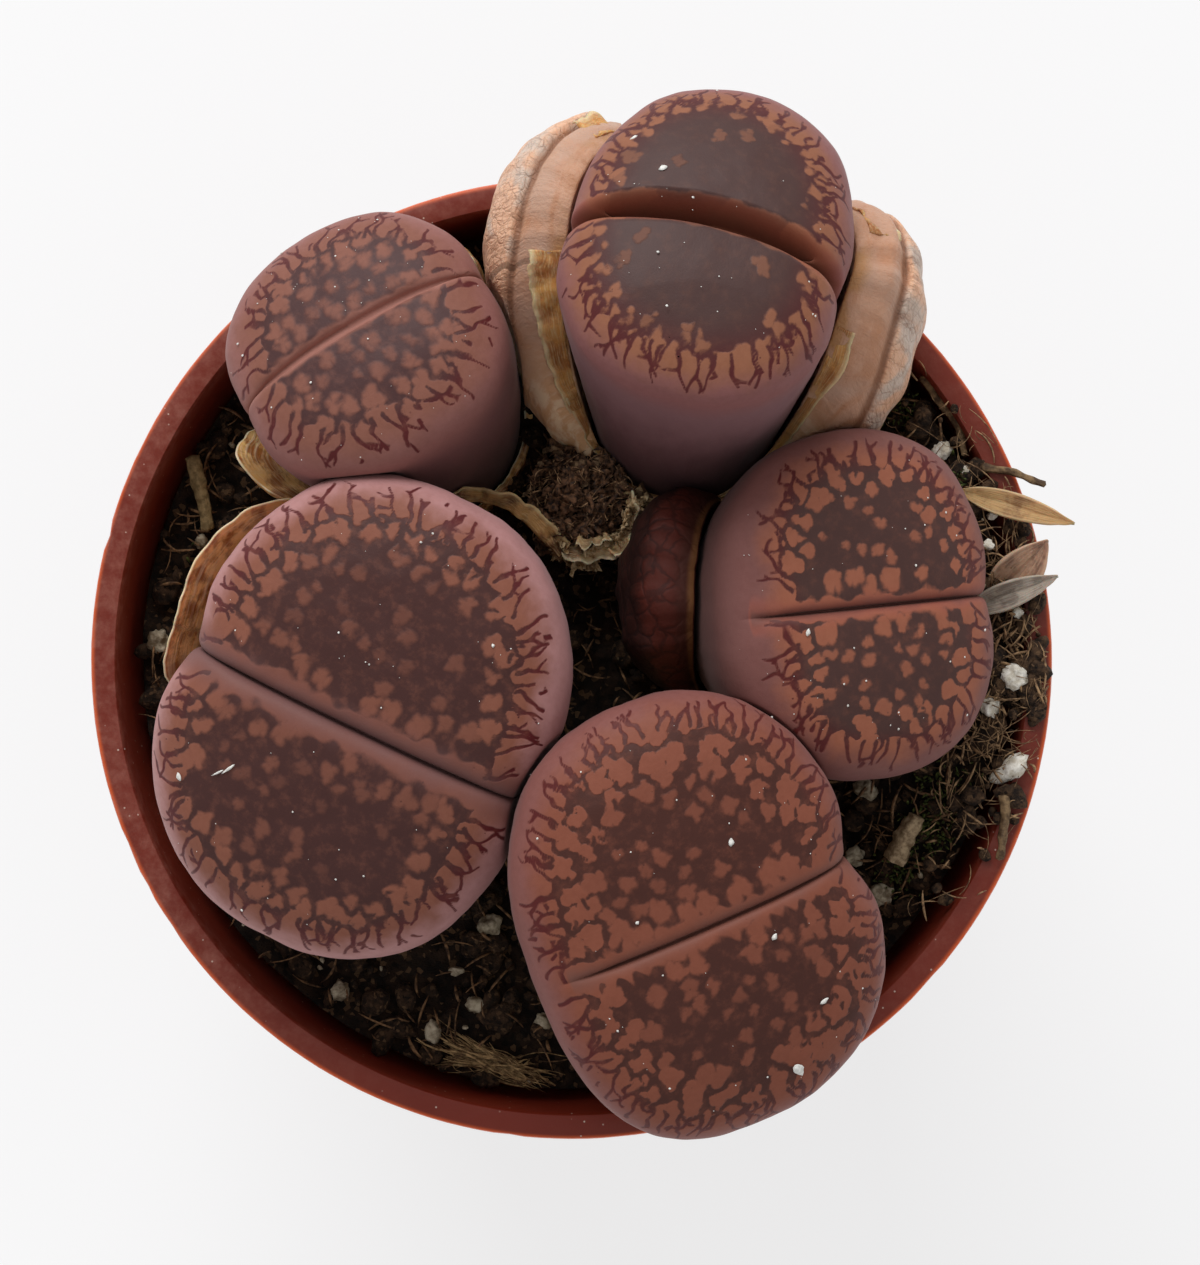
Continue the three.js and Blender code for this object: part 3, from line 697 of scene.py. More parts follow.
def branching_lines(head, look, discs, radii, kin, draw):
    """Dark lines that run out from the channels between the outermost islands, some forked."""
    pieces = []

    def grow(place, heading, length, width, forks, pull=0.1):
        steps = max(3, int(length / 0.28))
        bend = draw.gauss(0, 0.10)
        fork = draw.randrange(steps // 3, steps - 1) if draw.random() < forks else -1
        for k in range(steps):
            bend = 0.6 * bend + draw.gauss(0, 0.13)
            heading += bend + pull * math.sin(math.atan2(place[1], place[0]) - heading)
            reached = place + length / steps * direction(heading)
            wide, narrow = (width * (1.15 - 0.4 * i / steps) for i in (k, k + 1))
            pieces.append((*place, *reached, wide, narrow))
            place = reached
            if k == fork:
                away = draw.choice((-1, 1)) * draw.uniform(0.55, 0.9)
                grow(place, heading + away, length * draw.uniform(0.3, 0.5), wide * 0.9, 0.3 * forks, 0)
                heading -= 0.4 * away

    angle = np.linspace(-math.pi, math.pi, 1400)
    radius = markings_end(head, angle) - look["first"] - 0.1
    x, y = radius * np.cos(angle), radius * np.sin(angle)
    _, owner = island_depth(x, y, discs, radii, kin, 0 * x, 0 * x)
    starts, gone = [], 0.0
    for i in range(1, len(angle)):
        gone += math.hypot(x[i] - x[i - 1], y[i] - y[i - 1])
        if gone > look["apart"] and (owner[i] != owner[i - 1] or gone > 2.5 * look["apart"]):
            starts.append((i, 0.65 * look["fused"]))
            gone = 0.0
    for i, back in starts:
        if abs(y[i]) > 0.8 * look["band"]:
            outward = direction(angle[i])
            length = look["first"] * draw.uniform(0.65, 1.12) + back
            grow(np.array([x[i], y[i]]) - back * outward, angle[i] + draw.gauss(0, 0.2), length,
                 look["line"] * draw.uniform(0.85, 1.1), 0.7)
    for _ in range(look["inlets"]):
        centre = discs[draw.randrange(len(discs))].mean(axis=0)
        turn = draw.uniform(0, 2 * math.pi)
        if shore_depth(head, *centre) < look["ring"] and abs(centre[1]) > look["band"] + 0.8:
            rim = centre + 0.5 * look["cell"] * direction(turn)
            grow(rim, turn + math.pi + draw.gauss(0, 0.3), 0.4 * look["cell"] * draw.uniform(0.7, 1.3),
                 look["line"], 0, 0)
    for _ in range(look["strays"]):
        turn = draw.uniform(-math.pi, math.pi)
        out = markings_end(head, turn) - look["first"] * draw.uniform(0.25, 0.75)
        place = out * direction(turn)
        if abs(place[1]) > look["band"] + 0.5:
            grow(place, turn + draw.gauss(0, 0.4), draw.uniform(0.35, 0.9), look["line"] * 0.9, 0.15)
    return np.array(pieces)


def clear_of_lines(x, y, pieces):
    """Distance from each place to the nearest dark line's edge."""
    result = np.full(len(x), 9.0)
    ax, ay, bx, by, wide, narrow = pieces.T
    dx, dy = bx - ax, by - ay
    for start in range(0, len(x), CHUNK):
        part = slice(start, start + CHUNK)
        px, py = x[part, None] - ax, y[part, None] - ay
        t = np.clip((px * dx + py * dy) / (dx * dx + dy * dy), 0, 1)
        result[part] = (np.hypot(px - t * dx, py - t * dy) - wide - (narrow - wide) * t).min(axis=1)
    return result


def markings(name, x, y, shore, fissure):
    """Depth inside pale skin, negative in the dark, in millimetres, and how clearly the island there shows."""
    head, look = HEADS[name], MARKINGS[name]
    draw = random.Random(look["seed"])
    wx = x + 0.2 * ripples(x, y, 1.5, look["seed"] + 1)
    wy = y + 0.2 * ripples(x, y, 1.5, look["seed"] + 2)
    discs, radii, shows, kin = islands(head, look, draw)
    inward = shore - look["first"]
    gap = look["line"] * (0.75 + 0.6 * ease(inward, 0, 2.5)) * (1 + 0.3 * ripples(x, y, 3.5, look["seed"] + 3))
    spare = 1.4 * (1 - ease(inward, look["fused"] - 1.8, look["fused"]))
    light, owner = island_depth(wx, wy, discs, radii, kin, gap, spare)
    light = np.maximum(light, look["first"] * (0.9 + 0.35 * ripples(x, y, 2.2, look["seed"] + 4)) - shore)
    light = np.maximum(light, look["band"] * (1 + 0.15 * ripples(x, y, 3.0, look["seed"] + 5))
                       + look["edge"] * ripples(x, y, 1.3, look["seed"] + 6) - fissure)
    lines = branching_lines(head, look, discs, radii, kin, draw)
    return np.minimum(light, clear_of_lines(wx, wy, lines)), shows[owner]


# ---- skin of a leaf pair ---------------------------------------------------------------------------
CELLS_PER_MM = 9.2
CAP_ROWS = 0.84


def leaf_pair(name):
    """One pair of leaves: its skin wraps a square grid whose middle row lies in the fissure."""
    head = HEADS[name]
    count = 2 * round(CELLS_PER_MM * (head["half"] + head["lobes"][0]) / 2)
    piece = started_grid("skin_" + name, count, count)
    edit(piece, draw_up_border, lambda: bpy.ops.mesh.merge(type="CENTER"))
    square = points_of(piece)
    tip = len(square) - 1
    u = square[:, 0]
    v = np.sign(square[:, 1]) * abs(square[:, 1]) ** 1.15
    a, b = square_to_disc(u, v)
    rows = np.minimum(1, np.hypot(a, b))
    s = np.where(rows < CAP_ROWS, rows * CAP_SHARE / CAP_ROWS, 1 - (1 - rows) * (1 - CAP_SHARE) / (1 - CAP_ROWS))
    angle = np.arctan2(b, a)
    out, down, side = section(head, s)
    radius = out * side_radius(head, angle, side)
    p = columns(radius * np.cos(angle), radius * np.sin(angle), -down)
    from_fissure = abs(p[:, 1])
    p = lean(head, fold_in(head, p, u, out, side), side)
    p[tip] = (0, 0, -head["height"] - 0.5 * head["base"])

    # Flat map of the skin and the distances that its markings follow, in millimetres.
    share, _, reach = flat_reach(head)
    flat = np.interp(s, share, reach) * outline(head, angle)
    x, y = flat * np.cos(angle), flat * np.sin(angle)
    shore = markings_end(head, angle) - flat
    opening = fissure_reach(head, u, out, side)
    field = columns(shore, from_fissure + 3.5 * (1 - ease(opening, 0, 0.15)), side)
    marked = shore > -1
    marks = columns(np.full(len(x), 2.0), np.ones(len(x)), 0 * x)
    marks[marked, 0], marks[marked, 1] = markings(name, x[marked], y[marked], shore[marked], field[marked, 1])
    skin = columns(x, y, 0 * x)

    world = kept_in_pot(to_pot(head, p), PRESS_ROOM)
    for other in PRESSED_BY.get(name, []):
        world = pressed(world, other)
    world[tip] = to_pot(head, p[tip : tip + 1])[0]
    set_down(piece, world)
    edit(piece, face_outwards)
    store(piece, "skin", skin)
    store(piece, "field", field)
    store(piece, "marks", marks)
    smooth_shaded(piece)
    swell = 0.16 * noise_at(skin, 5.0, 3.1) + 0.05 * noise_at(skin, 1.6, 7.7)
    push_along_normals(piece, swell * ease(from_fissure, 0.2, 2.0) * (1 - side))

    # The top millimetre is flattened a little, so that the skin stays under the top of the solids.
    p = points_of(piece)
    high = CAD_BOX[1][2] - 1.0 * MM
    p[:, 2] = np.where(p[:, 2] > high, high + 0.7 * (p[:, 2] - high), p[:, 2])
    set_points(piece, p)
    return piece


# ---- finish of a leaf pair -------------------------------------------------------------------------
def leaf_marks_group():
    """Colour, relief and gloss of a leaf from its flat map, its distances and its markings."""
    inlets = [("Skin", "Vector", None), ("Field", "Vector", None), ("Marks", "Vector", None)]
    inlets += [(name, "Color", tone(*values)) for name, values in (
        ("Window", (66, 36, 31)), ("Island", (126, 72, 50)), ("Line", (84, 24, 24)), ("Margin", (146, 92, 84)),
        ("Flank", (118, 76, 74)), ("Foot", (96, 66, 60)), ("Band", (122, 60, 46)), ("Valley", (128, 88, 86)))]
    inlets += [(name, "Float", value) for name, value in (
        ("Band width", 2.0), ("Window depth", 3.4), ("Blur", 0.12), ("Haze", 0.3), ("Maroon", 3.6))]
    group, given, result = new_group("leaf_marks", inlets, [("Color", "Color"), ("Height", "Float"),
                                                            ("Glassy", "Float")])
    place = given["Skin"]
    shore, fissure, side = split(given["Field"])
    light, shows, _ = split(given["Marks"])
    patch = minus(grain(place, 0.33, 2, 0.5), 0.5)
    fine_patch = minus(grain(place, 1.1, 2, 0.5), 0.5)
    uneven = plus(times(patch, 2.6), times(fine_patch, 1.1))
    outer = plus(shore, uneven)
    mottle = grain(place, 1.9, 4, 0.6)
    crumbly = minus(grain(place, 3.4, 2, 0.6), 0.5)

    # Pale islands: sharp by the margin, blurred where they lie deep under a window.
    deep = calc("DIVIDE", outer, given["Window depth"])
    soft = plus(0.06, times(ramp(deep, 0.6, 1.3), given["Blur"]))
    rim = plus(light, times(crumbly, calc("MULTIPLY_ADD", ramp(shore, 1.2, 2.6), 0.14, 0.05)))
    island = ramp(rim, times(soft, -1.0), soft)
    freckle = times(ramp(cells(place, 1.25), 0.11, 0.07), ramp(grain(place, 0.45, 2), 0.52, 0.62))
    island = times(island, minus(1.0, times(freckle, ramp(shore, 0.2, 1.5, 0.0, 0.75))))

    ground = mix(ramp(outer, -0.4, 2.4), given["Margin"], given["Island"])
    ground = darkened(ramp(mottle, 0.35, 0.7, 0.0, 0.22), ground, (0.66, 0.56, 0.52))
    ground = mix(shows, given["Window"], ground)
    dark = mix(ramp(shore, 1.2, given["Maroon"]), given["Line"], given["Window"])
    haze = ramp(grain(place, 1.0, 4, 0.65), 0.45, 0.75)
    dark = mix(times(haze, given["Haze"]), dark, given["Island"])
    face = mix(island, dark, ground)

    # The plain skin past the markings, down the flank, and along the fissure.
    flank = mix(ramp(shore, -4.5, -0.3), given["Flank"], given["Margin"])
    # Down the side the skin turns to the foot colour; where this is darker than the flank, it is painted shade low on
    # the body.
    low = plus(side, times(patch, 0.35))
    flank = mix(ramp(low, 0.05, 0.75), flank, given["Foot"])
    flank = darkened(ramp(mottle, 0.3, 0.8, 0.0, 0.25), flank, (0.76, 0.68, 0.68))
    skin = mix(ramp(shore, -1.6, -0.6), flank, face)
    near = plus(fissure, times(uneven, 0.35))
    band = minus(near, given["Band width"])
    skin = mix(times(ramp(band, -1.0, 0.4, 0.8, 0.0), island), skin, given["Band"])
    valley = calc("DIVIDE", near, given["Band width"])
    skin = mix(ramp(valley, 0.1, 1.0, 0.9, 0.0), skin, given["Valley"])
    feed(result["Color"], skin)

    pores = grain(place, 9.0, 2, 0.6)
    relief = calc("MULTIPLY_ADD", island, 0.5, times(pores, 0.16))
    feed(result["Height"], plus(relief, times(mottle, 0.3)))
    feed(result["Glassy"], minus(1.0, island))
    return group


LEAF_LOOKS = {
    "head_back_left": dict(
        Band_width=0.8, Window_depth=4.0, Blur=0.2, Window=(74, 47, 46), Line=(86, 29, 30), Island=(134, 86, 72),
        Margin=(144, 96, 90), Flank=(124, 82, 80), Band=(136, 88, 78), Valley=(162, 112, 100)),
    "head_back_right": dict(
        Band_width=1.2, Window_depth=3.0, Blur=0.06, Haze=0.1, Maroon=5.6, Window=(74, 51, 48), Line=(84, 31, 32),
        Island=(144, 93, 69), Margin=(136, 88, 86), Flank=(130, 92, 95), Foot=(100, 64, 66), Band=(150, 68, 52),
        Valley=(120, 76, 58)),
    "head_right": dict(
        Band_width=1.3, Window_depth=5.0, Blur=0.08, Haze=0.15, Window=(74, 49, 45), Line=(84, 29, 29),
        Island=(152, 92, 70), Margin=(124, 80, 75), Flank=(108, 74, 70), Band=(164, 88, 70), Valley=(110, 72, 66)),
    "head_front_left": dict(
        Band_width=2.3, Window_depth=4.6, Blur=0.14, Window=(70, 41, 38), Line=(86, 28, 30), Island=(135, 83, 66),
        Band=(128, 78, 66), Valley=(112, 80, 78), Margin=(176, 129, 127), Flank=(184, 142, 143)),
    "head_front_right": dict(
        Band_width=1.3, Window_depth=7.0, Blur=0.1, Window=(72, 39, 32), Line=(84, 28, 27), Island=(133, 76, 58),
        Margin=(131, 82, 76), Flank=(122, 82, 80), Foot=(168, 150, 100), Band=(130, 76, 60), Valley=(118, 76, 66)),
}


def leaf_finish(name, marks):
    material, tree, surface = shader(
        "leaf_" + name[5:], Subsurface_Weight=0.04, Subsurface_Scale=0.0006, Subsurface_Radius=(1.0, 0.6, 0.5),
        Specular_IOR_Level=0.2, Sheen_Weight=0.05, Sheen_Roughness=0.4)
    look = {key: tone(*value) if isinstance(value, tuple) else value for key, value in LEAF_LOOKS[name].items()}
    made = use_group(tree, marks, **{key.title(): attribute(tree, key) for key in ("skin", "field", "marks")}, **look)
    rough = ramp(made["Glassy"], 0.0, 1.0, 0.58, 0.5)
    finish_with(surface, made["Color"], rough, made["Height"], 0.55, 0.00012)
    return material


# ---- old leaves and dry sheaths --------------------------------------------------------------------
# lobes: where each one stands, its half width in degrees, how far it rises, flares and how thick it is.
HUSKS = {
    "old_leaves_back_right": dict(
        head="head_back_right", foot=0.95, low=0.88, wrinkle=0.25, ragged=0.015, thin=0.3, plump=0.6, ridge=0.2,
        groove=1.1, lobes=((138, 55, 0.86, 0.1, 7.8), (8, 52, 0.84, 0.1, 6.5))),
    "old_leaf_right": dict(
        head="head_right", foot=0.94, low=0.82, wrinkle=0.15, ragged=0.02, thin=0.3, plump=0.38, ridge=0.12, groove=0,
        lobes=((168, 44, 0.68, 0.1, 4.5),)),
    "dry_sheath_front_left": dict(
        head="head_front_left", foot=0.88, low=0.76, wrinkle=0.18, ragged=0.035, thin=0.2, plump=1.0, ridge=0.0,
        groove=0, lobes=((142, 46, 0.6, 2.6, 0.4), (53, 12, 0.3, 1.2, 0.3))),
    "dry_sheath_back_left": dict(
        head="head_back_left", foot=0.92, low=0.82, wrinkle=0.18, ragged=0.035, thin=0.2, plump=1.0, ridge=0.0,
        groove=0, lobes=((206, 24, 0.44, 2.9, 0.3), (64, 14, 0.5, 1.4, 0.3))),
}


def husk_places(name, angle, t, outside):
    """Places on a husk, t running from its foot to its top edge; also its fullness and lobe there."""
    husk = HUSKS[name]
    head = HEADS[husk["head"]]
    top = np.full(len(t), float(husk["low"]))
    flare = np.zeros(len(t))
    flesh = np.zeros(len(t))
    lobe = np.zeros(len(t))
    for at, width, rise, spread, thick in husk["lobes"]:
        off = (np.degrees(angle) + head["fissure"] - at + 180) % 360 - 180
        weight = np.exp(-((off / width) ** 4) / 2 - (off / width) ** 2 / 2)
        top -= rise * weight
        flare += spread * weight
        flesh += thick * weight
        lobe = np.maximum(lobe, weight)
    seed = float(len(name))
    round_about = columns(np.cos(angle) * 9, np.sin(angle) * 9, 0 * angle)
    top += husk["ragged"] * (noise_at(round_about, 1.6, seed) + 0.6 * noise_at(round_about, 0.6, seed + 5))
    side = between(husk["foot"], top, t)
    full = np.clip(4 * t**1.15 * (1 - t**1.15), 0, 1) ** husk["plump"]
    bulge = flesh * full
    hang = columns(round_about[:, 0], round_about[:, 1], 2.2 * t)
    folds = 0.45 * noise_at(hang, 2.0, seed + 2) + 0.3 * noise_at(hang, 0.8, seed + 9)
    folds = folds * ease(flesh, 1.0, 4.0) * full + husk["wrinkle"] * full * (1 - 0.7 * lobe) * np.sin(
        26 * angle + 3 * noise_at(round_about, 3.0, seed + 1))
    wall = between(SHEET, husk["thin"] * 0.5, ease(t, 0.9, 1.0))
    away = GAP + 0.05 + flare * t**2 + np.where(outside, wall + np.maximum(0, bulge + folds), 0)
    down = between(head["dome"], head["height"], side)
    body = side_radius(head, angle, side)
    p = lean(head, columns(body * np.cos(angle), body * np.sin(angle), -down), side)
    p[:, 0] += away * np.cos(angle)
    p[:, 1] += away * np.sin(angle)
    wave = np.cos(2 * math.pi * (away / 2.7 + 0.8 * noise_at(round_about, 6.0, seed + 4)))
    wave *= 0.6 + 0.8 * noise_at(hang, 2.6, seed + 6)
    p[:, 2] += np.where(outside, husk["ridge"] * wave * ease(away, 0.6, 1.6) * ease(t, 0.15, 0.5), 0)
    furrow = 4.4 + 0.5 * noise_at(round_about, 5.0, seed + 8)
    sunk = husk["groove"] * np.exp(-(((away - furrow) / 0.42) ** 2)) * ease(t, 0.3, 0.55) * ease(lobe, 0.3, 0.8)
    outer = ease(away, furrow, furrow + 1.0) * (husk["groove"] > 0) * ease(t, 0.1, 0.4)
    sunk = sunk + 0.15 * outer * abs(noise_at(hang * (1, 1, 0.2), 0.9, seed + 12))
    p[:, 2] -= np.where(outside, sunk, 0)
    world = to_pot(head, p)
    world = np.where(outside[:, None], kept_in_pot(world, 0), kept_in_pot(world, SHEET + 0.05))
    for other in HEADS:
        if other != husk["head"]:
            world = pressed(world, other, 0.1)
    return world, full, lobe, np.where(outside, away - furrow, -3)


def sleeve(name, turns=300, rounds=72):
    """A husk round a leaf pair: a ring whose inner half hugs the body and whose outer half bulges."""
    piece = started("skin_" + name, bpy.ops.mesh.primitive_torus_add, major_segments=turns,
                    minor_segments=rounds, major_radius=1, minor_radius=0.25)
    ring = points_of(piece)
    angle = np.arctan2(ring[:, 1], ring[:, 0])
    tilt = np.arctan2(ring[:, 2], np.hypot(ring[:, 0], ring[:, 1]) - 1)
    outside = abs(tilt) <= math.pi / 2 + 1e-4
    turned = np.where(tilt < 0, tilt + 2 * math.pi, tilt)
    t = np.where(outside, (tilt + math.pi / 2) / math.pi, 1 - (turned - math.pi / 2) / math.pi)
    t = 1 - (1 - np.clip(t, 0, 1)) ** 1.5
    world, full, lobe, past = husk_places(name, angle, t, outside)
    set_down(piece, world)
    edit(piece, face_outwards)
    store(piece, "sleeve", columns(angle * 9, t * 12, ease(t, 0.985, 1.0)))
    store(piece, "growth", columns(full, lobe, past))
    smooth_shaded(piece)
    return piece


def flap(name, husk, turns, top, low, seed, lift, **settings):
    """A torn strip of the husk's dry skin, laid over its top from its edge outwards."""
    head = HEADS[HUSKS[husk]["head"]]
    curves = []
    for share, rise in ((top, 0.05), (low, lift)):
        angle = np.radians(np.linspace(*turns, 9) - head["fissure"])
        places = husk_places(husk, angle, np.full(9, share), np.full(9, True))[0]
        places[:, 2] += rise
        curves.append(places)
    return torn_strip(name, *curves, seed, **settings)


def old_leaf_finish():
    """Shrunken flesh: a pale smooth fold by the head, then peach, a clouded netted zone and gold wrinkles."""
    material, tree, surface = shader("old_leaf_peach", Subsurface_Weight=0.15, Subsurface_Scale=0.001,
                                     Subsurface_Radius=(1.0, 0.6, 0.4), Specular_IOR_Level=0.35)
    place = object_mm(tree)
    around = attribute(tree, "sleeve")
    _, up, edge = split(around)
    _, lobe, past = split(attribute(tree, "growth"))
    cloud = grain(place, 0.25, 3, 0.5)
    spread = plus(past, times(minus(cloud, 0.5), 1.6))
    streak = grain(stretched(around, (0.35, 1.0, 1.0)), 1.3, 4, 0.6)
    net = cells(warped(place, 0.6, 1.6), 1.0, "DISTANCE_TO_EDGE")
    veins = ramp(net, 0.10, 0.02)
    wrinkle = grain(stretched(around, (1.6, 0.3, 1.0)), 1.1, 4, 0.65)

    smooth_fold = mix(ramp(streak, 0.36, 0.64), tone(182, 130, 98), tone(194, 150, 124))
    color = mix(ramp(cloud, 0.42, 0.62), smooth_fold, tone(188, 150, 128))
    netted = mix(ramp(cloud, 0.44, 0.58), tone(224, 176, 144), tone(204, 182, 166))
    netted = mix(times(veins, 0.2), netted, tone(140, 90, 66))
    color = mix(ramp(spread, -0.1, 0.7), color, netted)
    # Painted shade: darker brown along the furrow where the leaf folds.
    color = mix(ramp(calc("ABSOLUTE", past), 0.42, 0.1, 0.0, 0.7), color, tone(128, 82, 56))
    golden = mix(ramp(wrinkle, 0.42, 0.6), tone(228, 176, 128), tone(248, 216, 178))
    color = mix(times(ramp(up, 7.4, 5.2), 0.85), color, golden)
    color = mix(ramp(lobe, 0.66, 0.25, 0.0, 0.9), color, golden)
    color = mix(times(ramp(wrinkle, 0.42, 0.34, 0.0, 0.5), ramp(spread, -0.6, 0.6)), color, tone(134, 86, 60))
    color = mix(times(edge, ramp(cloud, 0.45, 0.55, 0.1, 0.8)), color, tone(172, 120, 62))
    height = times(wrinkle, ramp(spread, -1.2, 0.8, 0.35, 1.3))
    height = minus(height, times(veins, ramp(spread, -0.4, 0.6, 0.0, 0.12)))
    height = plus(height, times(grain(place, 3.5, 3, 0.6), 0.2))
    finish_with(surface, color, ramp(streak, 0.3, 0.7, 0.44, 0.58), height, 0.75, 0.0006)
    return material


def red_leaf_finish():
    """The shrunken leaf pair under the right head: clouded brown-red, a dark net and a warm band; its browns are very
    dark, partly its own colour and partly painted shade from the head above it.
    """
    material, tree, surface = shader("old_leaf_red", Subsurface_Weight=0.04, Subsurface_Scale=0.0006,
                                     Specular_IOR_Level=0.3)
    place = object_mm(tree)
    net = cells(warped(place, 0.8, 1.2), 0.62, "DISTANCE_TO_EDGE")
    full, _, _ = split(attribute(tree, "growth"))
    _, up, edge = split(attribute(tree, "sleeve"))
    blotch = grain(place, 0.5, 3, 0.6)
    # Very dark browns: the old leaf's own colour deepened with painted shade.
    color = mix(ramp(blotch, 0.35, 0.68), tone(38, 15, 11), tone(56, 23, 17))
    band = times(ramp(plus(full, times(blotch, 0.5)), 1.05, 0.85),
                ramp(up, 7.0, 8.5))
    color = mix(times(band, 0.85), color, tone(88, 35, 25))
    veins = times(ramp(net, 0.11, 0.02), minus(0.85, times(band, 0.35)))
    color = mix(veins, color, tone(34, 11, 9))
    color = mix(ramp(full, 0.4, 0.15), color, tone(72, 34, 25))
    torn = times(edge, ramp(full, 0.14, 0.04))
    color = mix(times(torn, 0.75), color, tone(132, 88, 50))
    height = plus(ramp(net, 0.0, 0.2, 0.0, 0.5), times(grain(place, 3, 3), 0.4))
    finish_with(surface, color, ramp(blotch, 0.3, 0.7, 0.6, 0.72), height, 0.35, 0.0002)
    return material


def paper_group():
    """Dry skin: fibres that run along it, gold and cream streaks, and a pale torn edge, a painted highlight where
    light catches the thin skin.
    """
    group, given, result = new_group(
        "dry_skin", [("Along", "Vector", None), ("Edge", "Float", 0.0), ("Dark", "Color", None),
                     ("Mid", "Color", None), ("Pale", "Color", None)],
        [("Color", "Color"), ("Height", "Float"), ("Rough", "Float")])
    place = object_mm(group)
    fibre = grain(stretched(given["Along"], (0.25, 3.0, 3.0)), 1.6, 4, 0.6)
    blotch = grain(place, 0.45, 4, 0.65)
    color = mix(ramp(blotch, 0.4, 0.6), given["Mid"], given["Dark"])
    color = mix(ramp(fibre, 0.42, 0.7, 0.0, 0.45), color, given["Pale"])
    color = mix(ramp(fibre, 0.36, 0.26, 0.0, 0.4), color, given["Dark"])
    # Painted highlight: the torn edge turns pale where light catches the thin skin.
    color = mix(ramp(given["Edge"], 0.3, 0.9, 0.0, 0.8), color, given["Pale"])
    feed(result["Color"], color)
    feed(result["Height"], calc("MULTIPLY_ADD", fibre, 0.7, times(blotch, 0.6)))
    feed(result["Rough"], ramp(fibre, 0.3, 0.7, 0.48, 0.72))
    return group


def paper_finish(name, group, source, dark, mid, pale):
    """source: the attribute that gives the fibres' run in x and the torn edge in z."""
    material, tree, surface = shader(name, Subsurface_Weight=0.25, Subsurface_Scale=0.0008)
    along, across, edge = split(attribute(tree, source))
    made = use_group(tree, group, Along=add(tree, "CombineXYZ", along, across, 0.0), Edge=edge, Dark=tone(*dark),
                     Mid=tone(*mid), Pale=tone(*pale))
    finish_with(surface, made["Color"], made["Rough"], made["Height"], 0.6, 0.0003)
    return material


def curve_through(points, count):
    """Places on a smooth curve through a few points."""
    points = np.array(points, dtype=float)
    padded = np.concatenate([[2 * points[0] - points[1]], points, [2 * points[-1] - points[-2]]])
    spans = len(points) - 1
    places = []
    for share in np.linspace(0, spans, count):
        i = min(int(share), spans - 1)
        t = share - i
        a, b, c, d = padded[i : i + 4]
        places.append(0.5 * (2 * b + (c - a) * t + (2 * a - 5 * b + 4 * c - d) * t * t
                             + (3 * b - a - 3 * c + d) * t**3))
    return np.array(places)


def torn_strip(name, low, high, seed, thick=0.16, ragged=0.45, crumple=0.3, along=90, across=12):
    """A torn strip of dry skin between two curves, with a ragged upper edge."""
    piece = started_grid(name, along, across)
    square = points_of(piece)
    i = np.rint((square[:, 0] + 1) / 2 * along).astype(int)
    v = (square[:, 1] + 1) / 2
    foot = curve_through(low, along + 1)[i]
    brow = curve_through(high, along + 1)[i]
    run = columns(i * 0.25, np.zeros(len(i)), np.full(len(i), seed))
    tear = 1 - ragged * (0.5 + 0.5 * noise_at(run, 2.4, seed)) - 0.25 * ragged * abs(noise_at(run, 0.7, seed + 3))
    p = foot + (brow - foot) * (v * tear)[:, None]
    wave = crumple * noise_at(p, 1.5, seed) + 0.4 * crumple * noise_at(p, 0.6, seed + 1)
    curl = np.cross(np.gradient(foot, axis=0), brow - foot)
    size = np.maximum(1e-6, np.linalg.norm(curl, axis=1, keepdims=True))
    p = p + np.where(size > 1e-5, curl / size, 0) * wave[:, None]
    for other in HEADS:
        p = pressed(p, other, 0.05)
    set_down(piece, p)
    store(piece, "strip", columns(i * 0.3, v * 3, v**3))
    apply_modifier(piece, "SOLIDIFY", thickness=thick * MM, offset=0)
    edit(piece, lambda: bpy.ops.mesh.select_all(action="SELECT"), bpy.ops.mesh.normals_make_consistent)
    smooth_shaded(piece)
    return piece


# ---- pot -------------------------------------------------------------------------------------------
POT_SIDES = 192


def pot_outline():
    """Radius and height of the pot's section, from the middle of its underside round to its floor."""
    inner = RIM_RADIUS - RIM_WIDTH
    collar = inner + WALL
    ledge = POT_HEIGHT - COLLAR_HEIGHT
    below = collar - COLLAR_TAPER - COLLAR_STEP
    rim = POT_HEIGHT - RIM_THICKNESS
    return [
        (PAD_RADIUS, 0), (PAD_RADIUS + 0.3, CHANNEL_DEPTH), (FOOT_RADIUS - FOOT_WIDTH, CHANNEL_DEPTH),
        (FOOT_RADIUS - FOOT_WIDTH + 0.3, 0), (FOOT_RADIUS - FOOT_ROUND, 0),
        (FOOT_RADIUS - 0.3 * FOOT_ROUND, 0.3 * FOOT_ROUND), (FOOT_RADIUS, FOOT_ROUND),
        (below, ledge - 0.12), (below + 0.12, ledge), (collar - COLLAR_TAPER - 0.15, ledge),
        (collar - COLLAR_TAPER, ledge + 0.15), (collar, rim - 0.2), (collar + 0.2, rim),
        (RIM_RADIUS - 0.22, rim), (RIM_RADIUS - 0.06, rim + 0.08), (RIM_RADIUS, rim + 0.26),
        (RIM_RADIUS, POT_HEIGHT - 0.3), (RIM_RADIUS - 0.08, POT_HEIGHT - 0.1), (RIM_RADIUS - 0.3, POT_HEIGHT - 0.02),
        (inner + 0.55, POT_HEIGHT), (inner + 0.18, POT_HEIGHT - 0.06), (inner, POT_HEIGHT - 0.3),
        (inner - COLLAR_TAPER, ledge + WALL), (below - WALL, ledge - 0.5 * WALL),
        (FOOT_RADIUS - WALL, CHANNEL_DEPTH + FLOOR + FOOT_ROUND),
        (FOOT_RADIUS - WALL - FOOT_ROUND, CHANNEL_DEPTH + FLOOR),
    ]


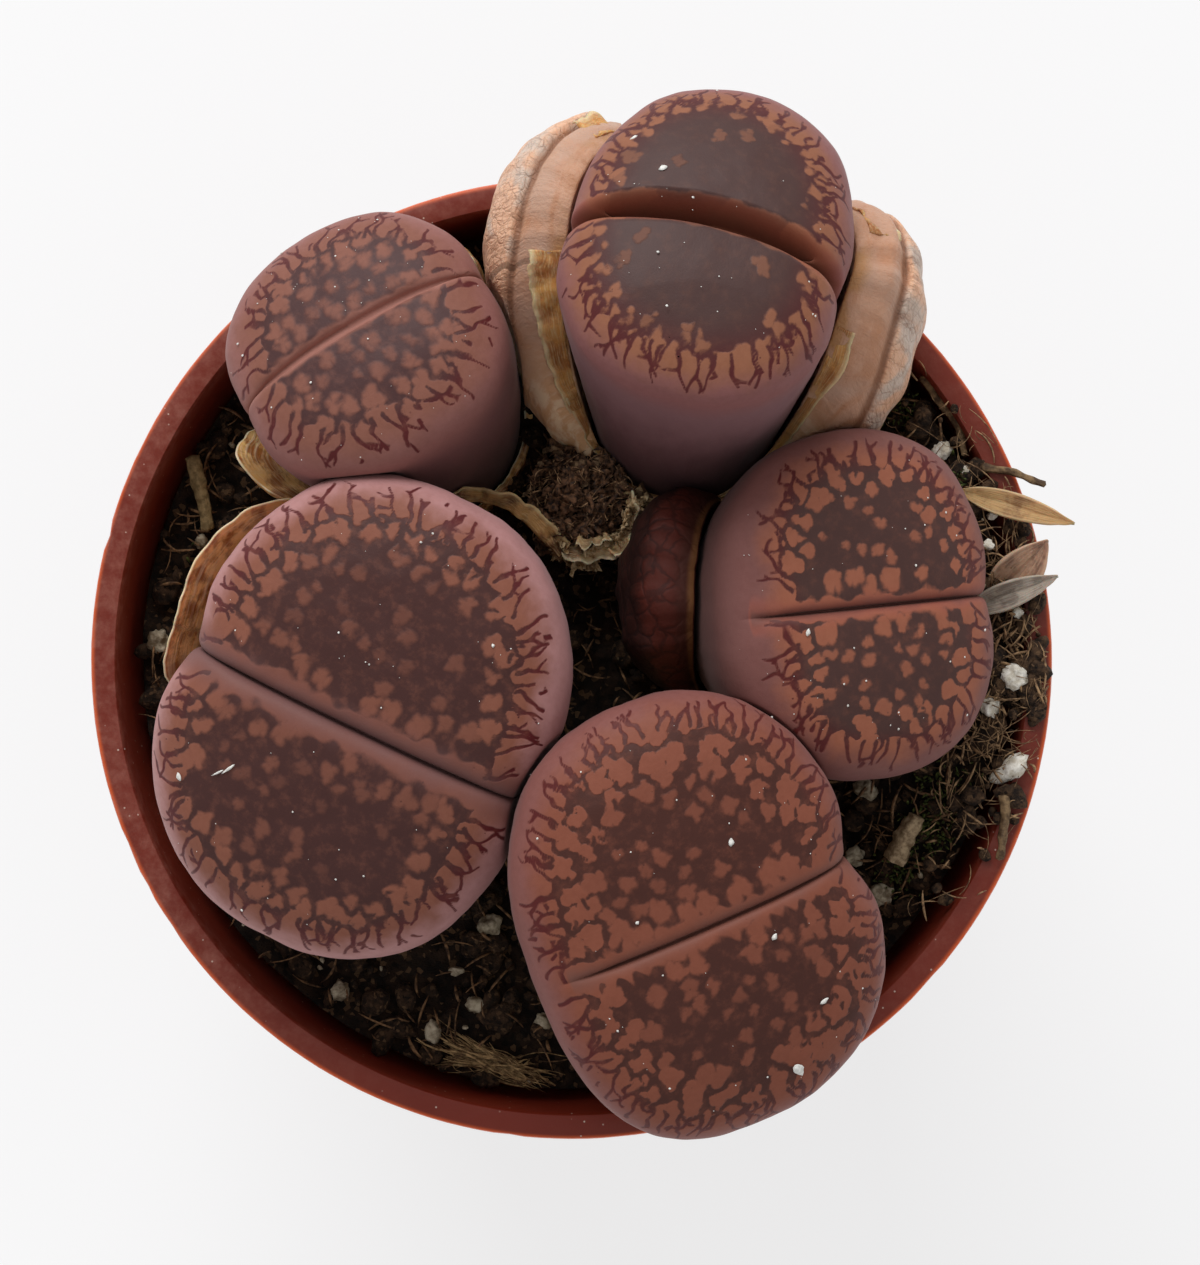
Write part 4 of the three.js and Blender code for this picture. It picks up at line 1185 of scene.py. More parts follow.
def make_pot():
    """The pot, drawn up ring by ring from a disc, its two middles filled, its drain holes cut."""
    profile = pot_outline()
    radius, height = profile[0]
    pot = started("pot_shell", bpy.ops.mesh.primitive_circle_add, vertices=POT_SIDES, radius=radius * MM,
                  location=(0, 0, height * MM), fill_type="TRIFAN")
    edit(pot, lambda: bpy.ops.mesh.select_all(action="DESELECT"))
    bpy.ops.object.transform_apply(location=True, rotation=False, scale=False)

    def draw_up():
        nonlocal radius, height
        bpy.ops.mesh.select_all(action="SELECT")
        bpy.ops.mesh.region_to_loop()
        for wide, high in profile[1:]:
            bpy.ops.mesh.extrude_edges_move(TRANSFORM_OT_translate={"value": (0, 0, (high - height) * MM)})
            grow = wide / radius
            bpy.ops.transform.resize(value=(grow, grow, 1), center_override=(0, 0, high * MM))
            radius, height = wide, high
        bpy.ops.mesh.extrude_edges_move()
        bpy.ops.mesh.merge(type="CENTER")

    edit(pot, draw_up, face_outwards)
    cutter = started("drain", bpy.ops.mesh.primitive_cylinder_add, vertices=40, radius=DRAIN_RADIUS * MM,
                     depth=4 * FLOOR * MM, location=(DRAIN_CIRCLE * MM, 0, (CHANNEL_DEPTH + 0.5 * FLOOR) * MM))
    bpy.ops.object.transform_apply(location=True)
    cutter_mesh = bmesh.new()
    for i in range(DRAIN_HOLES):
        turned = cutter.data.copy()
        turned.transform(Matrix.Rotation(2 * math.pi * i / DRAIN_HOLES, 4, "Z"))
        cutter_mesh.from_mesh(turned)
        bpy.data.meshes.remove(turned)
    cutter_mesh.to_mesh(cutter.data)
    cutter_mesh.free()
    apply_modifier(pot, "BOOLEAN", operation="DIFFERENCE", object=cutter, solver="EXACT")
    bpy.data.objects.remove(cutter)

    # Small knocks in the lip, and a wall that isn't perfectly round.
    p = points_of(pot) / MM
    turn = np.degrees(np.arctan2(p[:, 1], p[:, 0])) % 360
    reach = np.hypot(p[:, 0], p[:, 1])
    lip = ease(reach, 33.8, 34.9) * ease(p[:, 2], 60.5, 61.2)
    knock = sum(depth * np.exp(-(((turn - at) / wide) ** 2)) for at, wide, depth in (
        (164.5, 0.8, 0.24), (203, 1.3, 0.09), (207.5, 0.7, 0.14), (213, 1.1, 0.08), (262, 0.8, 0.1), (318, 1.0, 0.1)))
    rough_lip = 0.035 * noise_at(p, 1.3)
    sway = -0.08 * (0.5 + 0.5 * np.sin(3 * np.radians(turn)))
    shrink = 1 + (sway * ease(p[:, 2], 5, 60) - lip * (knock + abs(rough_lip))) / np.maximum(reach, 1)
    p[:, 0] *= shrink
    p[:, 1] *= shrink
    set_down(pot, p)
    smooth_shaded(pot)
    edit(pot, lambda: bpy.ops.mesh.select_all(action="SELECT"))
    bpy.ops.object.shade_smooth_by_angle(angle=math.radians(38))
    return pot


def terracotta_plastic():
    """Thin moulded plastic: red-brown; on the rim, dust and a painted sheen; at the thin lip, a painted orange glow
    of light shining through.
    """
    material, tree, surface = shader("terracotta_plastic", Subsurface_Weight=0.1, Subsurface_Scale=0.0008,
                                     Subsurface_Radius=(1.0, 0.25, 0.1), Specular_IOR_Level=0.3)
    place = object_mm(tree)
    x, y, z = split(place)
    reach = shift("LENGTH", stretched(place, (1, 1, 0)), out="Value")
    cloud = grain(place, 0.12, 4, 0.6)
    color = mix(ramp(cloud, 0.35, 0.65), tone(110, 36, 22), tone(116, 41, 26))
    # Painted glow: the thin outer lip is painted bright orange, standing in for light shining through the plastic.
    lip = times(ramp(reach, 34.55, 34.95), ramp(z, 60.0, 61.2))
    color = mix(lip, color, tone(214, 92, 40))
    dust = cells(place, 1.1)
    speck = times(ramp(dust, 0.10, 0.04), ramp(grain(place, 0.3, 2), 0.45, 0.6))
    color = mix(times(speck, 0.8), color, tone(214, 196, 182))
    # Pale dust with a painted sheen on the rim: lighter on the left and on the rim's top, fading towards the front
    # and down the inner wall.
    dust_and_painted_sheen = ramp(grain(place, 0.9, 5, 0.7), 0.3, 0.9, 0.0, 0.38)
    dust_and_painted_sheen = times(dust_and_painted_sheen, ramp(x, 12.0, -30.0, 0.35, 1.0))
    dust_and_painted_sheen = times(dust_and_painted_sheen, ramp(z, 58.0, 61.5, 0.15, 1.0))
    dust_and_painted_sheen = times(dust_and_painted_sheen, ramp(y, -34.0, -20.0, 0.05, 1.0))
    color = mix(dust_and_painted_sheen, color, tone(186, 132, 116))
    scratch = grain(stretched(place, (0.4, 0.4, 6.0)), 1.0, 3, 0.6)
    height = plus(times(grain(place, 5, 3), 0.3), times(scratch, 0.4))
    finish_with(surface, color, ramp(cloud, 0.3, 0.7, 0.36, 0.5), height, 0.25, 0.0001)
    return material


# ---- soil and what lies on it ----------------------------------------------------------------------
def soil_level(x, y):
    """Height of the soil: a heap at the right, a low rise at the front, and unevenness all over."""
    heap = ease(x, 12, 30) * np.exp(-(((y - 4) / 19) ** 4))
    front = 1.6 * ease(-y, 8, 28)
    p, q = x / 2.6, y / 2.6
    uneven = 0.5 * np.sin(p + 1.7 * np.sin(q)) * np.cos(0.8 * q + 1.3 * np.sin(0.7 * p))
    return SOIL_TOP + SOIL_MOUND * heap + front * (1 - heap) + uneven


def soil_height(x, y):
    return float(soil_level(np.array([x]), np.array([y]))[0])


def make_soil_bed(count=180):
    """The peat: a crumbly top over a plug that fills the pot."""
    bed = started_grid("peat_bed", count, count)
    edit(bed, lambda: draw_up_border(TRANSFORM_OT_translate={"value": (0, 0, -1)}), bpy.ops.mesh.edge_face_add)
    square = points_of(bed)
    low = square[:, 2] < -0.5
    a, b = square_to_disc(square[:, 0], square[:, 1])
    full = RIM_RADIUS - RIM_WIDTH - COLLAR_TAPER - GAP - 0.6
    x, y = a * full, b * full
    spot = columns(x, y, 0 * x)
    crumb = 0.75 * lumps_at(spot, 1.9, 4.0) + 0.35 * lumps_at(spot, 0.9, 9.0) + 0.5 * noise_at(spot, 3.2, 1.0)
    z = soil_level(x, y) + crumb - 0.75
    foot = (FOOT_RADIUS - WALL - GAP) / full
    p = columns(np.where(low, x * foot, x), np.where(low, y * foot, y),
                  np.where(low, CHANNEL_DEPTH + FLOOR + GAP + FOOT_ROUND, z))
    set_down(bed, p)
    edit(bed, face_outwards)
    smooth_shaded(bed)
    return bed


def crumb_shape(faces_level, seed, rough=0.35):
    """Points and faces of one crumb: a ball of few faces, dented."""
    ball = started("crumb", bpy.ops.mesh.primitive_ico_sphere_add, subdivisions=faces_level, radius=1)
    points = points_of(ball)
    points *= (1 + rough * noise_at(points, 0.9, seed) + 0.4 * rough * noise_at(points, 0.35, seed))[:, None]
    faces = [tuple(face.vertices) for face in ball.data.polygons]
    bpy.data.meshes.remove(ball.data)
    return points, faces


def scattered(name, shapes, spots, draw):
    """Copies of a few shapes as one piece. Each spot: place, three half sizes."""
    parts = []
    for place, sizes in spots:
        shape, faces = shapes[draw.randrange(len(shapes))]
        turn = Matrix.Rotation(draw.uniform(0, 6.28), 3, "Z") @ Matrix.Rotation(draw.uniform(-0.7, 0.7), 3, "X")
        parts.append(((shape * np.array(sizes)) @ np.array(turn).T + np.array(place), faces))
    return joined(name, parts)


def strands(name, fibres, sides=3):
    """Thin fibres as one piece. Each fibre: a row of places, and a radius that tapers to both ends."""
    parts = []
    for path, radius in fibres:
        path = np.asarray(path)
        steps = len(path)
        run = np.gradient(path, axis=0)
        run /= np.maximum(1e-6, np.linalg.norm(run, axis=1, keepdims=True))
        across = np.cross(run, (0.31, 0.17, 0.93))
        across /= np.maximum(1e-6, np.linalg.norm(across, axis=1, keepdims=True))
        up = np.cross(run, across)
        full = radius * (0.35 + 0.65 * np.sin(math.pi * np.linspace(0.04, 0.96, steps)))
        points, faces = [], []
        for k in range(sides):
            turn = 2 * math.pi * k / sides
            points.append(path + full[:, None] * (across * math.cos(turn) + up * math.sin(turn)))
            a, b = k * steps, (k + 1) % sides * steps
            faces += [(a + i, a + i + 1, b + i + 1, b + i) for i in range(steps - 1)]
        faces.append(tuple(k * steps for k in range(sides)))
        faces.append(tuple((k + 1) * steps - 1 for k in reversed(range(sides))))
        parts.append((np.concatenate(points), faces))
    return joined(name, parts)


def clear_of_plants(x, y, z, spare):
    """Whether a place lies outside every leaf pair by more than this."""
    place = np.array([[x, y, z]])
    return all(room_in(head, place)[0][0] < -spare for head in HEADS.values())


def open_soil(draw, count, skipped=0.35):
    """Seeded places on the open soil, clear of the plants, thicker on the heap at the right."""
    found = []
    while len(found) < count:
        turn = draw.uniform(0, 2 * math.pi)
        reach = math.sqrt(draw.random()) * SOIL_REACH
        x, y = reach * math.cos(turn), reach * math.sin(turn)
        if x < 16 and draw.random() < skipped:
            continue
        z = soil_height(x, y)
        if clear_of_plants(x, y, z, 0.9):
            found.append((x, y, z))
    return found


def make_crumbs():
    draw = random.Random(31)
    shapes = [crumb_shape(2, seed) for seed in (1.0, 5.0, 9.0)]
    spots = []
    for x, y, z in open_soil(draw, 520):
        size = 0.35 + 0.95 * draw.random() ** 2.2
        spots.append(((x, y, z + 0.1 * size), (size, size * draw.uniform(0.6, 1), size * draw.uniform(0.45, 0.8))))
    return scattered("peat_crumbs", shapes, spots, draw)


def make_spill():
    """Crumbs that lie against and on the rim at the right."""
    draw = random.Random(12)
    shapes = [crumb_shape(2, seed) for seed in (2.0, 6.0)]
    spots = []
    for _ in range(150):
        turn = math.radians(draw.gauss(2, 15))
        reach = draw.uniform(29.6, 34.2)
        size = 0.2 + 0.8 * draw.random() ** 1.6
        lift = POT_HEIGHT + 0.12 if reach > 32.9 else 61.6 + draw.uniform(-0.6, 0.8)
        spots.append(((reach * math.cos(turn), reach * math.sin(turn), lift + 0.35 * size),
                      (size, 0.8 * size, 0.6 * size)))
    return scattered("peat_spill", shapes, spots, draw)


PERLITE = (
    # x, y and half size of the larger grains
    (27.0, 15.2, 0.7), (28.6, 13.6, 0.4), (30.2, 8.3, 0.4), (32.4, 3.4, 0.4), (32.0, -1.2, 0.95),
    (30.4, -3.4, 0.75), (31.9, -8.1, 1.3), (21.5, -9.4, 0.9), (20.8, -14.6, 0.8), (22.6, -17.4, 0.9),
    (-6.0, -19.6, 0.8), (-17.0, -24.4, 0.7), (-7.2, -25.4, 0.6), (-10.2, -27.3, 0.8), (-2.0, -26.6, 0.7),
    (-30.4, 1.3, 0.8), (-27.4, 8.6, 0.5), (12.8, 12.6, 0.4), (-8.5, -23.0, 0.5), (30.5, 10.4, 0.35),
)


def make_perlite(name, grains):
    draw = random.Random(5)
    spots = []
    for x, y, size in grains:
        z = soil_height(x, y)
        spots.append(((x, y, z + 0.55 * size), (size, size * draw.uniform(0.6, 1), 0.75 * size)))
    return scattered(name, [crumb_shape(3, seed, 0.6) for seed in (3.0, 8.0, 14.0)], spots, draw)


def make_perlite_dust():
    draw = random.Random(6)
    spots = []
    for x, y, z in open_soil(draw, 70, skipped=0.5):
        size = draw.uniform(0.1, 0.28)
        spots.append(((x, y, z + 0.3 + size), (size, size * draw.uniform(0.5, 1), size)))
    return scattered("perlite_dust", [crumb_shape(1, seed, 0.6) for seed in (3.0, 8.0)], spots, draw)


def make_litter_fibres():
    """Matted brown fibres on the heap at the right, some over the rim."""
    draw = random.Random(19)
    fibres = []
    for _ in range(640):
        turn = math.radians(draw.gauss(3, 15))
        reach = draw.uniform(28.0, 34.4)
        x, y = reach * math.cos(turn), reach * math.sin(turn)
        heading = draw.uniform(0, 2 * math.pi)
        length = 0.6 + 3.6 * draw.random() ** 1.5
        steps = np.linspace(-0.5, 0.5, 7)
        angle = heading + draw.gauss(0, 1.0) * steps
        px, py = bent_path(x, y, heading, length, angle)
        if np.hypot(px, py).max() > LITTER_REACH:
            continue
        base = POT_HEIGHT + 0.25 if np.hypot(px, py).max() > 32.4 else 62.1
        z = base + draw.uniform(0, 1.0) + draw.uniform(-0.3, 0.3) * steps
        places = columns(px, py, z)
        if all(clear_of_plants(*place, 0.2) for place in places[::3]):
            fibres.append((places, 0.03 + 0.11 * draw.random() ** 3))
    return strands("litter_fibres", fibres)


def make_peat_fibres():
    draw = random.Random(77)
    fibres = []
    for x, y, z in open_soil(draw, 620, skipped=0.45):
        turn = draw.uniform(0, 2 * math.pi)
        length = draw.uniform(1.0, 4.2)
        bend = draw.uniform(-1.2, 1.2)
        steps = np.linspace(-0.5, 0.5, 6)
        px, py = bent_path(x, y, turn, length, turn + bend * steps)
        if np.hypot(px, py).max() > FIBRE_REACH:
            continue
        rise = 0.35 + draw.uniform(0, 0.9) * np.sin(math.pi * (steps + 0.5)) + draw.uniform(-0.3, 0.8) * steps
        fibres.append((columns(px, py, z + rise), draw.uniform(0.05, 0.16)))
    return strands("peat_fibres", fibres)


def peat_finish(name, dark, light, fine=1.0):
    material, tree, surface = shader(name, Specular_IOR_Level=0.25)
    place = object_mm(tree)
    clod = grain(place, 0.9 * fine, 5, 0.65)
    color = mix(ramp(clod, 0.36, 0.68), tone(*dark), tone(*light))
    pick = add(tree, "SeparateColor", cells(place, 2.6 * fine, out="Color"))
    color = mix(ramp(pick, 0.86, 0.93, 0.0, 0.7), color, tone(120, 92, 66))
    color = mix(ramp(pick, 0.10, 0.05, 0.0, 0.8), color, tone(14, 10, 8))
    height = plus(clod, times(grain(place, 7, 4, 0.7), 0.5))
    finish_with(surface, color, ramp(clod, 0.3, 0.7, 0.75, 0.95), height, 0.9, 0.0006)
    return material


def plain_grained(name, first, second, scale=2.0, stretch=(1, 1, 1), strength=0.6):
    """Dry wood, leaf and mineral bits: two tones in a grain, dark flecks, and relief."""
    material, tree, surface = shader(name, Specular_IOR_Level=0.3)
    place = object_mm(tree)
    fibre = grain(stretched(place, stretch), scale, 5, 0.6)
    color = mix(ramp(fibre, 0.34, 0.66), tone(*first), tone(*second))
    stain = ramp(grain(place, 1.1, 3, 0.6), 0.52, 0.74, 0.0, 0.55)
    color = darkened(stain, color, (0.45, 0.4, 0.36))
    finish_with(surface, color, ramp(fibre, 0.3, 0.7, 0.6, 0.85), fibre, strength, 0.0003)
    return material


# ---- dried flower ----------------------------------------------------------------------------------
CAPSULE = (0.8, 11.4)
FLOWER_TOP = 62.6


def make_flower_dome():
    """The withered flower's base: a fibrous brown mound on a short stalk."""
    dome = started("flower_mound", bpy.ops.mesh.primitive_uv_sphere_add, segments=128, ring_count=80, radius=1)
    ball = points_of(dome)
    spread = np.where(ball[:, 2] < 0, between(1.0, 0.42, ease(-ball[:, 2], 0.0, 0.9)), 1.0)
    p = columns(CAPSULE[0] + 3.5 * ball[:, 0] * spread, CAPSULE[1] + 3.4 * ball[:, 1] * spread,
                  59.0 + np.where(ball[:, 2] > 0, 2.6, 6.2) * ball[:, 2])
    set_down(dome, p)
    smooth_shaded(dome)
    rough = 0.8 * lumps_at(p, 1.5, 3.0) + 0.7 * noise_at(p, 2.2, 5.0) + 0.3 * abs(noise_at(p, 0.7, 2.0))
    push_along_normals(dome, rough + 0.12 * noise_at(p, 0.3, 8.0) - 0.8)
    return dome


def on_mound(turn, reach):
    """Height of the flower's mound at a place given by its turn and reach from the middle."""
    full = 3.9 * (1 + 0.08 * math.sin(3 * turn + 1) + 0.06 * math.sin(7 * turn))
    return 58.9 + 2.5 * math.sqrt(max(0.0, 1 - (reach / full) ** 2)) + 0.5 * math.sin(2.1 * reach + 2 * turn)


def make_flower_fibres():
    """Withered stamens, matted over the mound in curls."""
    draw = random.Random(9)
    fibres = []
    for _ in range(170):
        turn = draw.uniform(0, 2 * math.pi)
        reach = 3.7 * math.sqrt(draw.random())
        length = draw.uniform(0.6, 2.6)
        heading = draw.uniform(0, 2 * math.pi)
        bend = draw.gauss(0, 1.4)
        steps = np.linspace(-0.5, 0.5, 8)
        x, y = bent_path(*(reach * direction(turn)), heading, length, heading + bend * steps)
        z = on_mound(turn, reach) + draw.uniform(-0.1, 0.6) + 0.3 * np.sin(5 * steps + turn)
        place = columns(CAPSULE[0] + x, CAPSULE[1] + y, np.minimum(z, FLOWER_TOP))
        fibres.append((place, draw.uniform(0.025, 0.07)))
    return strands("flower_fibres", fibres)


def make_withered_petals(name, count, middle, spread, size, seed, lift=0.0):
    """Curled scraps of withered petal, each a small crumpled sheet of a few faces."""
    draw = random.Random(seed)
    sheet = np.array([(i / 4 - 0.5, j / 2 - 0.5, 0) for i in range(5) for j in range(3)])
    top = [(i * 3 + j, i * 3 + j + 3, i * 3 + j + 4, i * 3 + j + 1) for i in range(4) for j in range(2)]
    border = [0, 3, 6, 9, 12, 13, 14, 11, 8, 5, 2, 1]
    faces = top + [tuple(15 + k for k in reversed(face)) for face in top]
    faces += [(b, a, 15 + a, 15 + b) for a, b in zip(border, border[1:] + border[:1])]
    parts = []
    for _ in range(count):
        turn, reach = draw.uniform(*middle), spread[0] + (spread[1] - spread[0]) * math.sqrt(draw.random())
        reach *= 1 + 0.1 * math.sin(3 * turn + 1) + 0.08 * math.sin(7 * turn)
        long, wide = size * draw.uniform(0.6, 1.8), size * draw.uniform(0.3, 0.9)
        curl = draw.uniform(0.4, 2.6)
        p = sheet * (1, 1, 0)
        p = columns(np.sin(p[:, 0] * curl) / curl * long, p[:, 1] * wide * (1 - 1.2 * p[:, 0] ** 2),
                      (1 - np.cos(p[:, 0] * curl)) / curl * long + 0.3 * wide * np.sin(5 * p[:, 1] + reach))
        p += np.array([[draw.gauss(0, 0.07 * size) for _ in range(3)] for _ in p])
        twist = (Matrix.Rotation(draw.uniform(0, 6.28), 3, "Z") @ Matrix.Rotation(draw.gauss(0, 0.9), 3, "X")
                 @ Matrix.Rotation(draw.gauss(0, 0.7), 3, "Y"))
        place = np.array([CAPSULE[0] + reach * math.cos(turn), CAPSULE[1] + reach * math.sin(turn),
                          min(62.3, on_mound(turn, reach) + lift + draw.uniform(-0.1, 0.35))])
        p = p @ np.array(twist).T + place
        parts.append((np.concatenate([p, p - (0, 0, 0.06)]), faces))
    return joined(name, parts)


def crust(name, turns, near, far, seed, **settings):
    """Papery crust round the withered flower: a crumpled strip along part of its edge."""
    turn = np.radians(np.linspace(*turns, 9))
    draw = random.Random(seed)
    wander = np.array([draw.uniform(-0.25, 0.25) for _ in turn])
    across, along = CAPSULE[0] + 0.4, CAPSULE[1] - 0.6
    curves = []
    for reach, high in (near, far):
        reach = reach + wander
        curves.append(columns(across + reach * np.cos(turn), along + reach * np.sin(turn), high + wander))
    return torn_strip(name, *curves, seed, **settings)


# ---- litter ----------------------------------------------------------------------------------------
def dry_leaf(name, start, end, width, blunt, fold=0.35, arch=0.5, along=64, across=16):
    """A withered leaf: a lance-shaped blade folded along its midrib."""
    piece = started_grid(name, along, across)
    square = points_of(piece)
    t = (square[:, 0] + 1) / 2
    v = square[:, 1]
    way, over, up = beside(start, end)
    half = width / 2 * np.maximum(blunt * (1 - t**6), np.sin(math.pi * np.clip(t, 0.001, 0.999) ** 0.85) ** 0.75)
    lift = fold * abs(v) * half + arch * np.sin(math.pi * t) + 0.06 * noise_at(columns(t * 9, v * 2, 0 * t), 1)
    p = np.array(start) + way * t[:, None]
    p = p + over * (half * v)[:, None] + up * lift[:, None]
    set_down(piece, p)
    store(piece, "strip", columns(t * 8, v * 1.6, abs(v) ** 4))
    apply_modifier(piece, "SOLIDIFY", thickness=0.2 * MM, offset=0)
    smooth_shaded(piece)
    return piece


def twig(name, start, end, width, seed, bend, along=40, sides=14):
    """A dry stalk: a sheet rolled into a tube, knotted and slightly bent, broken at both ends."""
    piece = started_grid(name, along, sides)
    square = points_of(piece)
    t = (square[:, 0] + 1) / 2
    turn = (square[:, 1] + 1) * math.pi
    way, over, up = beside(start, end)
    closed = np.where((t < 1e-4) | (t > 1 - 1e-4), 0.0, 1.0)
    ridge = 1 + 0.18 * np.sin(5 * turn + seed) + 0.35 * noise_at(columns(t * 7, 0 * t, 0 * t + seed), 1.0)
    radius = width / 2 * closed * ridge * between(1.0, 0.75, t)
    sway = bend * np.sin(math.pi * t) + 0.25 * bend * np.sin(3.3 * math.pi * t + seed)
    p = np.array(start) + way * t[:, None] + over * (radius * np.cos(turn) + sway)[:, None]
    p = p + up * (radius * np.sin(turn))[:, None]
    set_down(piece, p)
    edit(piece, face_outwards)
    smooth_shaded(piece)
    return piece


def make_wood_fibre():
    """A tuft of pale wood fibre lying at the front."""
    draw = random.Random(41)
    x, y, z = -5.8, -29.7, 57.6
    fibres = []
    for _ in range(130):
        turn = math.radians(draw.gauss(-20, 8))
        length = 1.2 + 5.8 * draw.random() ** 1.3
        steps = np.linspace(-0.5, 0.5, 10)
        bend = draw.uniform(-1.4, 1.4)
        curl = draw.gauss(0, 0.13) * np.sin(draw.uniform(0, 6.3) + 8 * steps)
        off, slid = draw.gauss(0, 0.42) + curl, draw.gauss(0, 1.4)
        px = x + (slid + steps * length) * math.cos(turn) - off * math.sin(turn)
        py = y + (slid + steps * length) * math.sin(turn) + off * math.cos(turn) + bend * (steps**2)
        keep = np.hypot(px, py).max() < 32.0
        pz = z + draw.uniform(-0.3, 0.7) + draw.uniform(-0.6, 0.6) * steps
        if keep:
            fibres.append((columns(px, py, pz), 0.03 + 0.11 * draw.random() ** 3))
    return strands("wood_fibre_tuft", fibres, 4)


def make_moss():
    """Short tufts in clusters. Each cluster: its middle, its spread and how many."""
    draw = random.Random(3)
    fibres = []
    for cx, cy, spread, count in ((26.2, -12.6, 2.6, 150), (24.0, -16.0, 1.6, 60), (-26.6, 6.6, 1.2, 60),
                                  (24.4, 18.0, 1.4, 60), (27.0, -9.4, 2.2, 90), (28.4, 13.6, 1.4, 50)):
        for _ in range(count):
            x, y = draw.gauss(cx, spread * 0.5), draw.gauss(cy, spread * 0.5)
            z = soil_height(x, y)
            if math.hypot(x, y) > 31.5 or not clear_of_plants(x, y, z, 0.5):
                continue
            lean_x, lean_y = draw.gauss(0, 0.3), draw.gauss(0, 0.3)
            rise = draw.uniform(0.5, 1.1)
            path = [(x + share * lean_x, y + share * lean_y, z + share * rise) for share in (0, 0.6, 1)]
            fibres.append((path, draw.uniform(0.08, 0.16)))
    return strands("moss_tufts", fibres)


# ---- white grit on the leaves ----------------------------------------------------------------------
def on_face(head, x, y):
    """A place on a head's face, given in its own plan, and the direction that it faces."""
    def at(px, py):
        angle = math.atan2(py, px)
        share = min(0.985, math.hypot(px, py) / float(outline(head, np.array([angle]))[0]))
        up = (1 - share**DOME_POWER) ** (1 / DOME_POWER)
        return np.array([px, py, -head["dome"] * (1 - up)])
    here = at(x, y)
    out = np.cross(at(x + 0.1, y) - here, at(x, y + 0.1) - here)
    turn, _ = head_frame(head)
    return to_pot(head, here[None])[0], turn @ (out / np.linalg.norm(out))


FLAKES = (
    # head, place on its face, half sizes
    ("head_front_right", 2.1, -12.2, (0.36, 0.55, 0.10)), ("head_front_right", 3.6, 5.0, (0.28, 0.20, 0.12)),
    ("head_front_right", 3.9, -2.4, (0.26, 0.18, 0.10)), ("head_front_right", -4.6, 2.4, (0.14, 0.12, 0.08)),
    ("head_front_right", 5.5, -8.2, (0.34, 0.16, 0.10)), ("head_back_right", -4.2, 4.3, (0.32, 0.22, 0.12)),
    ("head_back_right", -6.8, 6.8, (0.3, 0.14, 0.10)), ("head_front_left", -9.6, -8.6, (0.3, 0.2, 0.1)),
    ("head_front_left", 6.8, 9.6, (0.14, 0.12, 0.08)), ("head_right", -5.0, -1.4, (0.26, 0.16, 0.1)),
    ("head_front_left", -6.5, -6.4, (0.1, 0.6, 0.04)), ("head_front_left", -7.1, -7.0, (0.07, 0.5, 0.04)),
)


def make_grit():
    """Perlite flakes and specks of dust that lie on the leaves."""
    draw = random.Random(64)
    coarse = crumb_shape(2, 4.0, 0.5)
    fine = crumb_shape(1, 4.0, 0.3)
    parts = []

    def lay(shape, head, x, y, sizes):
        place, out = on_face(head, x, y)
        turn = Vector(out).to_track_quat("Z", "Y").to_matrix() @ Matrix.Rotation(draw.uniform(-0.4, 0.4), 3, "Z")
        points = (shape[0] * np.array(sizes)) @ np.array(turn).T + place + out * (sizes[2] * 0.5 + 0.03)
        points[:, 2] = np.minimum(points[:, 2], CAD_BOX[1][2] / MM - 0.05)
        parts.append((points, shape[1]))

    for name, x, y, sizes in FLAKES:
        lay(coarse, HEADS[name], x, y, sizes)
    for name, head in HEADS.items():
        for _ in range(SPECKS_PER_HEAD):
            turn = draw.uniform(0, 2 * math.pi)
            reach = math.sqrt(draw.random()) * 0.93 * float(outline(head, np.array([turn]))[0])
            x, y = reach * math.cos(turn), reach * math.sin(turn)
            if abs(y) < head["lip"]:
                continue
            size = 0.03 + 0.085 * draw.random() ** 3
            lay(fine, head, x, y, (size, size, size * 0.7))
    return joined("white_grit", parts)


# ---- making it all ---------------------------------------------------------------------------------
def lay_floor():
    floor = started("floor", bpy.ops.mesh.primitive_plane_add, size=6)
    material, tree, surface = shader("pale_floor", 0.9, Specular_IOR_Level=0.1, Emission_Color=(1, 1, 1, 1),
                                     Emission_Strength=0.695)
    cloud = grain(add(tree, "TexCoord", out="Object"), 6.0, 3, 0.5)
    finish_with(surface, mix(cloud, (0.265, 0.265, 0.27), (0.28, 0.28, 0.285)))
    floor.data.materials.append(material)


set_up_camera()
set_up_light()
lay_floor()

marks = leaf_marks_group()
for name in HEADS:
    dress(leaf_pair(name), leaf_finish(name, marks), name)

paper = paper_group()
sheath_paper = paper_finish("sheath_paper", paper, "sleeve", (158, 94, 38), (240, 188, 116), (244, 222, 186))
dress(sleeve("old_leaves_back_right", 360, 96), old_leaf_finish(), "old_leaves_back_right")
dress(sleeve("old_leaf_right"), red_leaf_finish(), "old_leaf_right")
for name in ("dry_sheath_front_left", "dry_sheath_back_left"):
    dress(sleeve(name), sheath_paper, name)

gold_paper = paper_finish("gold_paper", paper, "strip", (160, 98, 42), (206, 144, 74), (226, 204, 160))
for name, turns, top, low, seed, lift, crumple, ragged in (
        ("strip_left_tip", (104, 124), 0.99, 0.9, 3.0, 0.7, 0.3, 0.3),
        ("strip_left_upper", (164, 199), 1.0, 0.94, 5.0, 0.45, 0.25, 0.3),
        ("strip_left_lower", (194, 236), 1.0, 0.96, 7.0, 0.4, 0.3, 0.3),
        ("strip_right_tip", (17, 33), 0.99, 0.9, 9.0, 0.7, 0.3, 0.3),
        ("strip_right_edge", (-16, -88), 1.0, 0.965, 11.0, 0.25, 0.2, 0.45)):
    strip = flap(name, "old_leaves_back_right", turns, top, low, seed, lift, crumple=crumple, ragged=ragged)
    dress(strip, gold_paper)

dress(make_pot(), terracotta_plastic(), "pot")

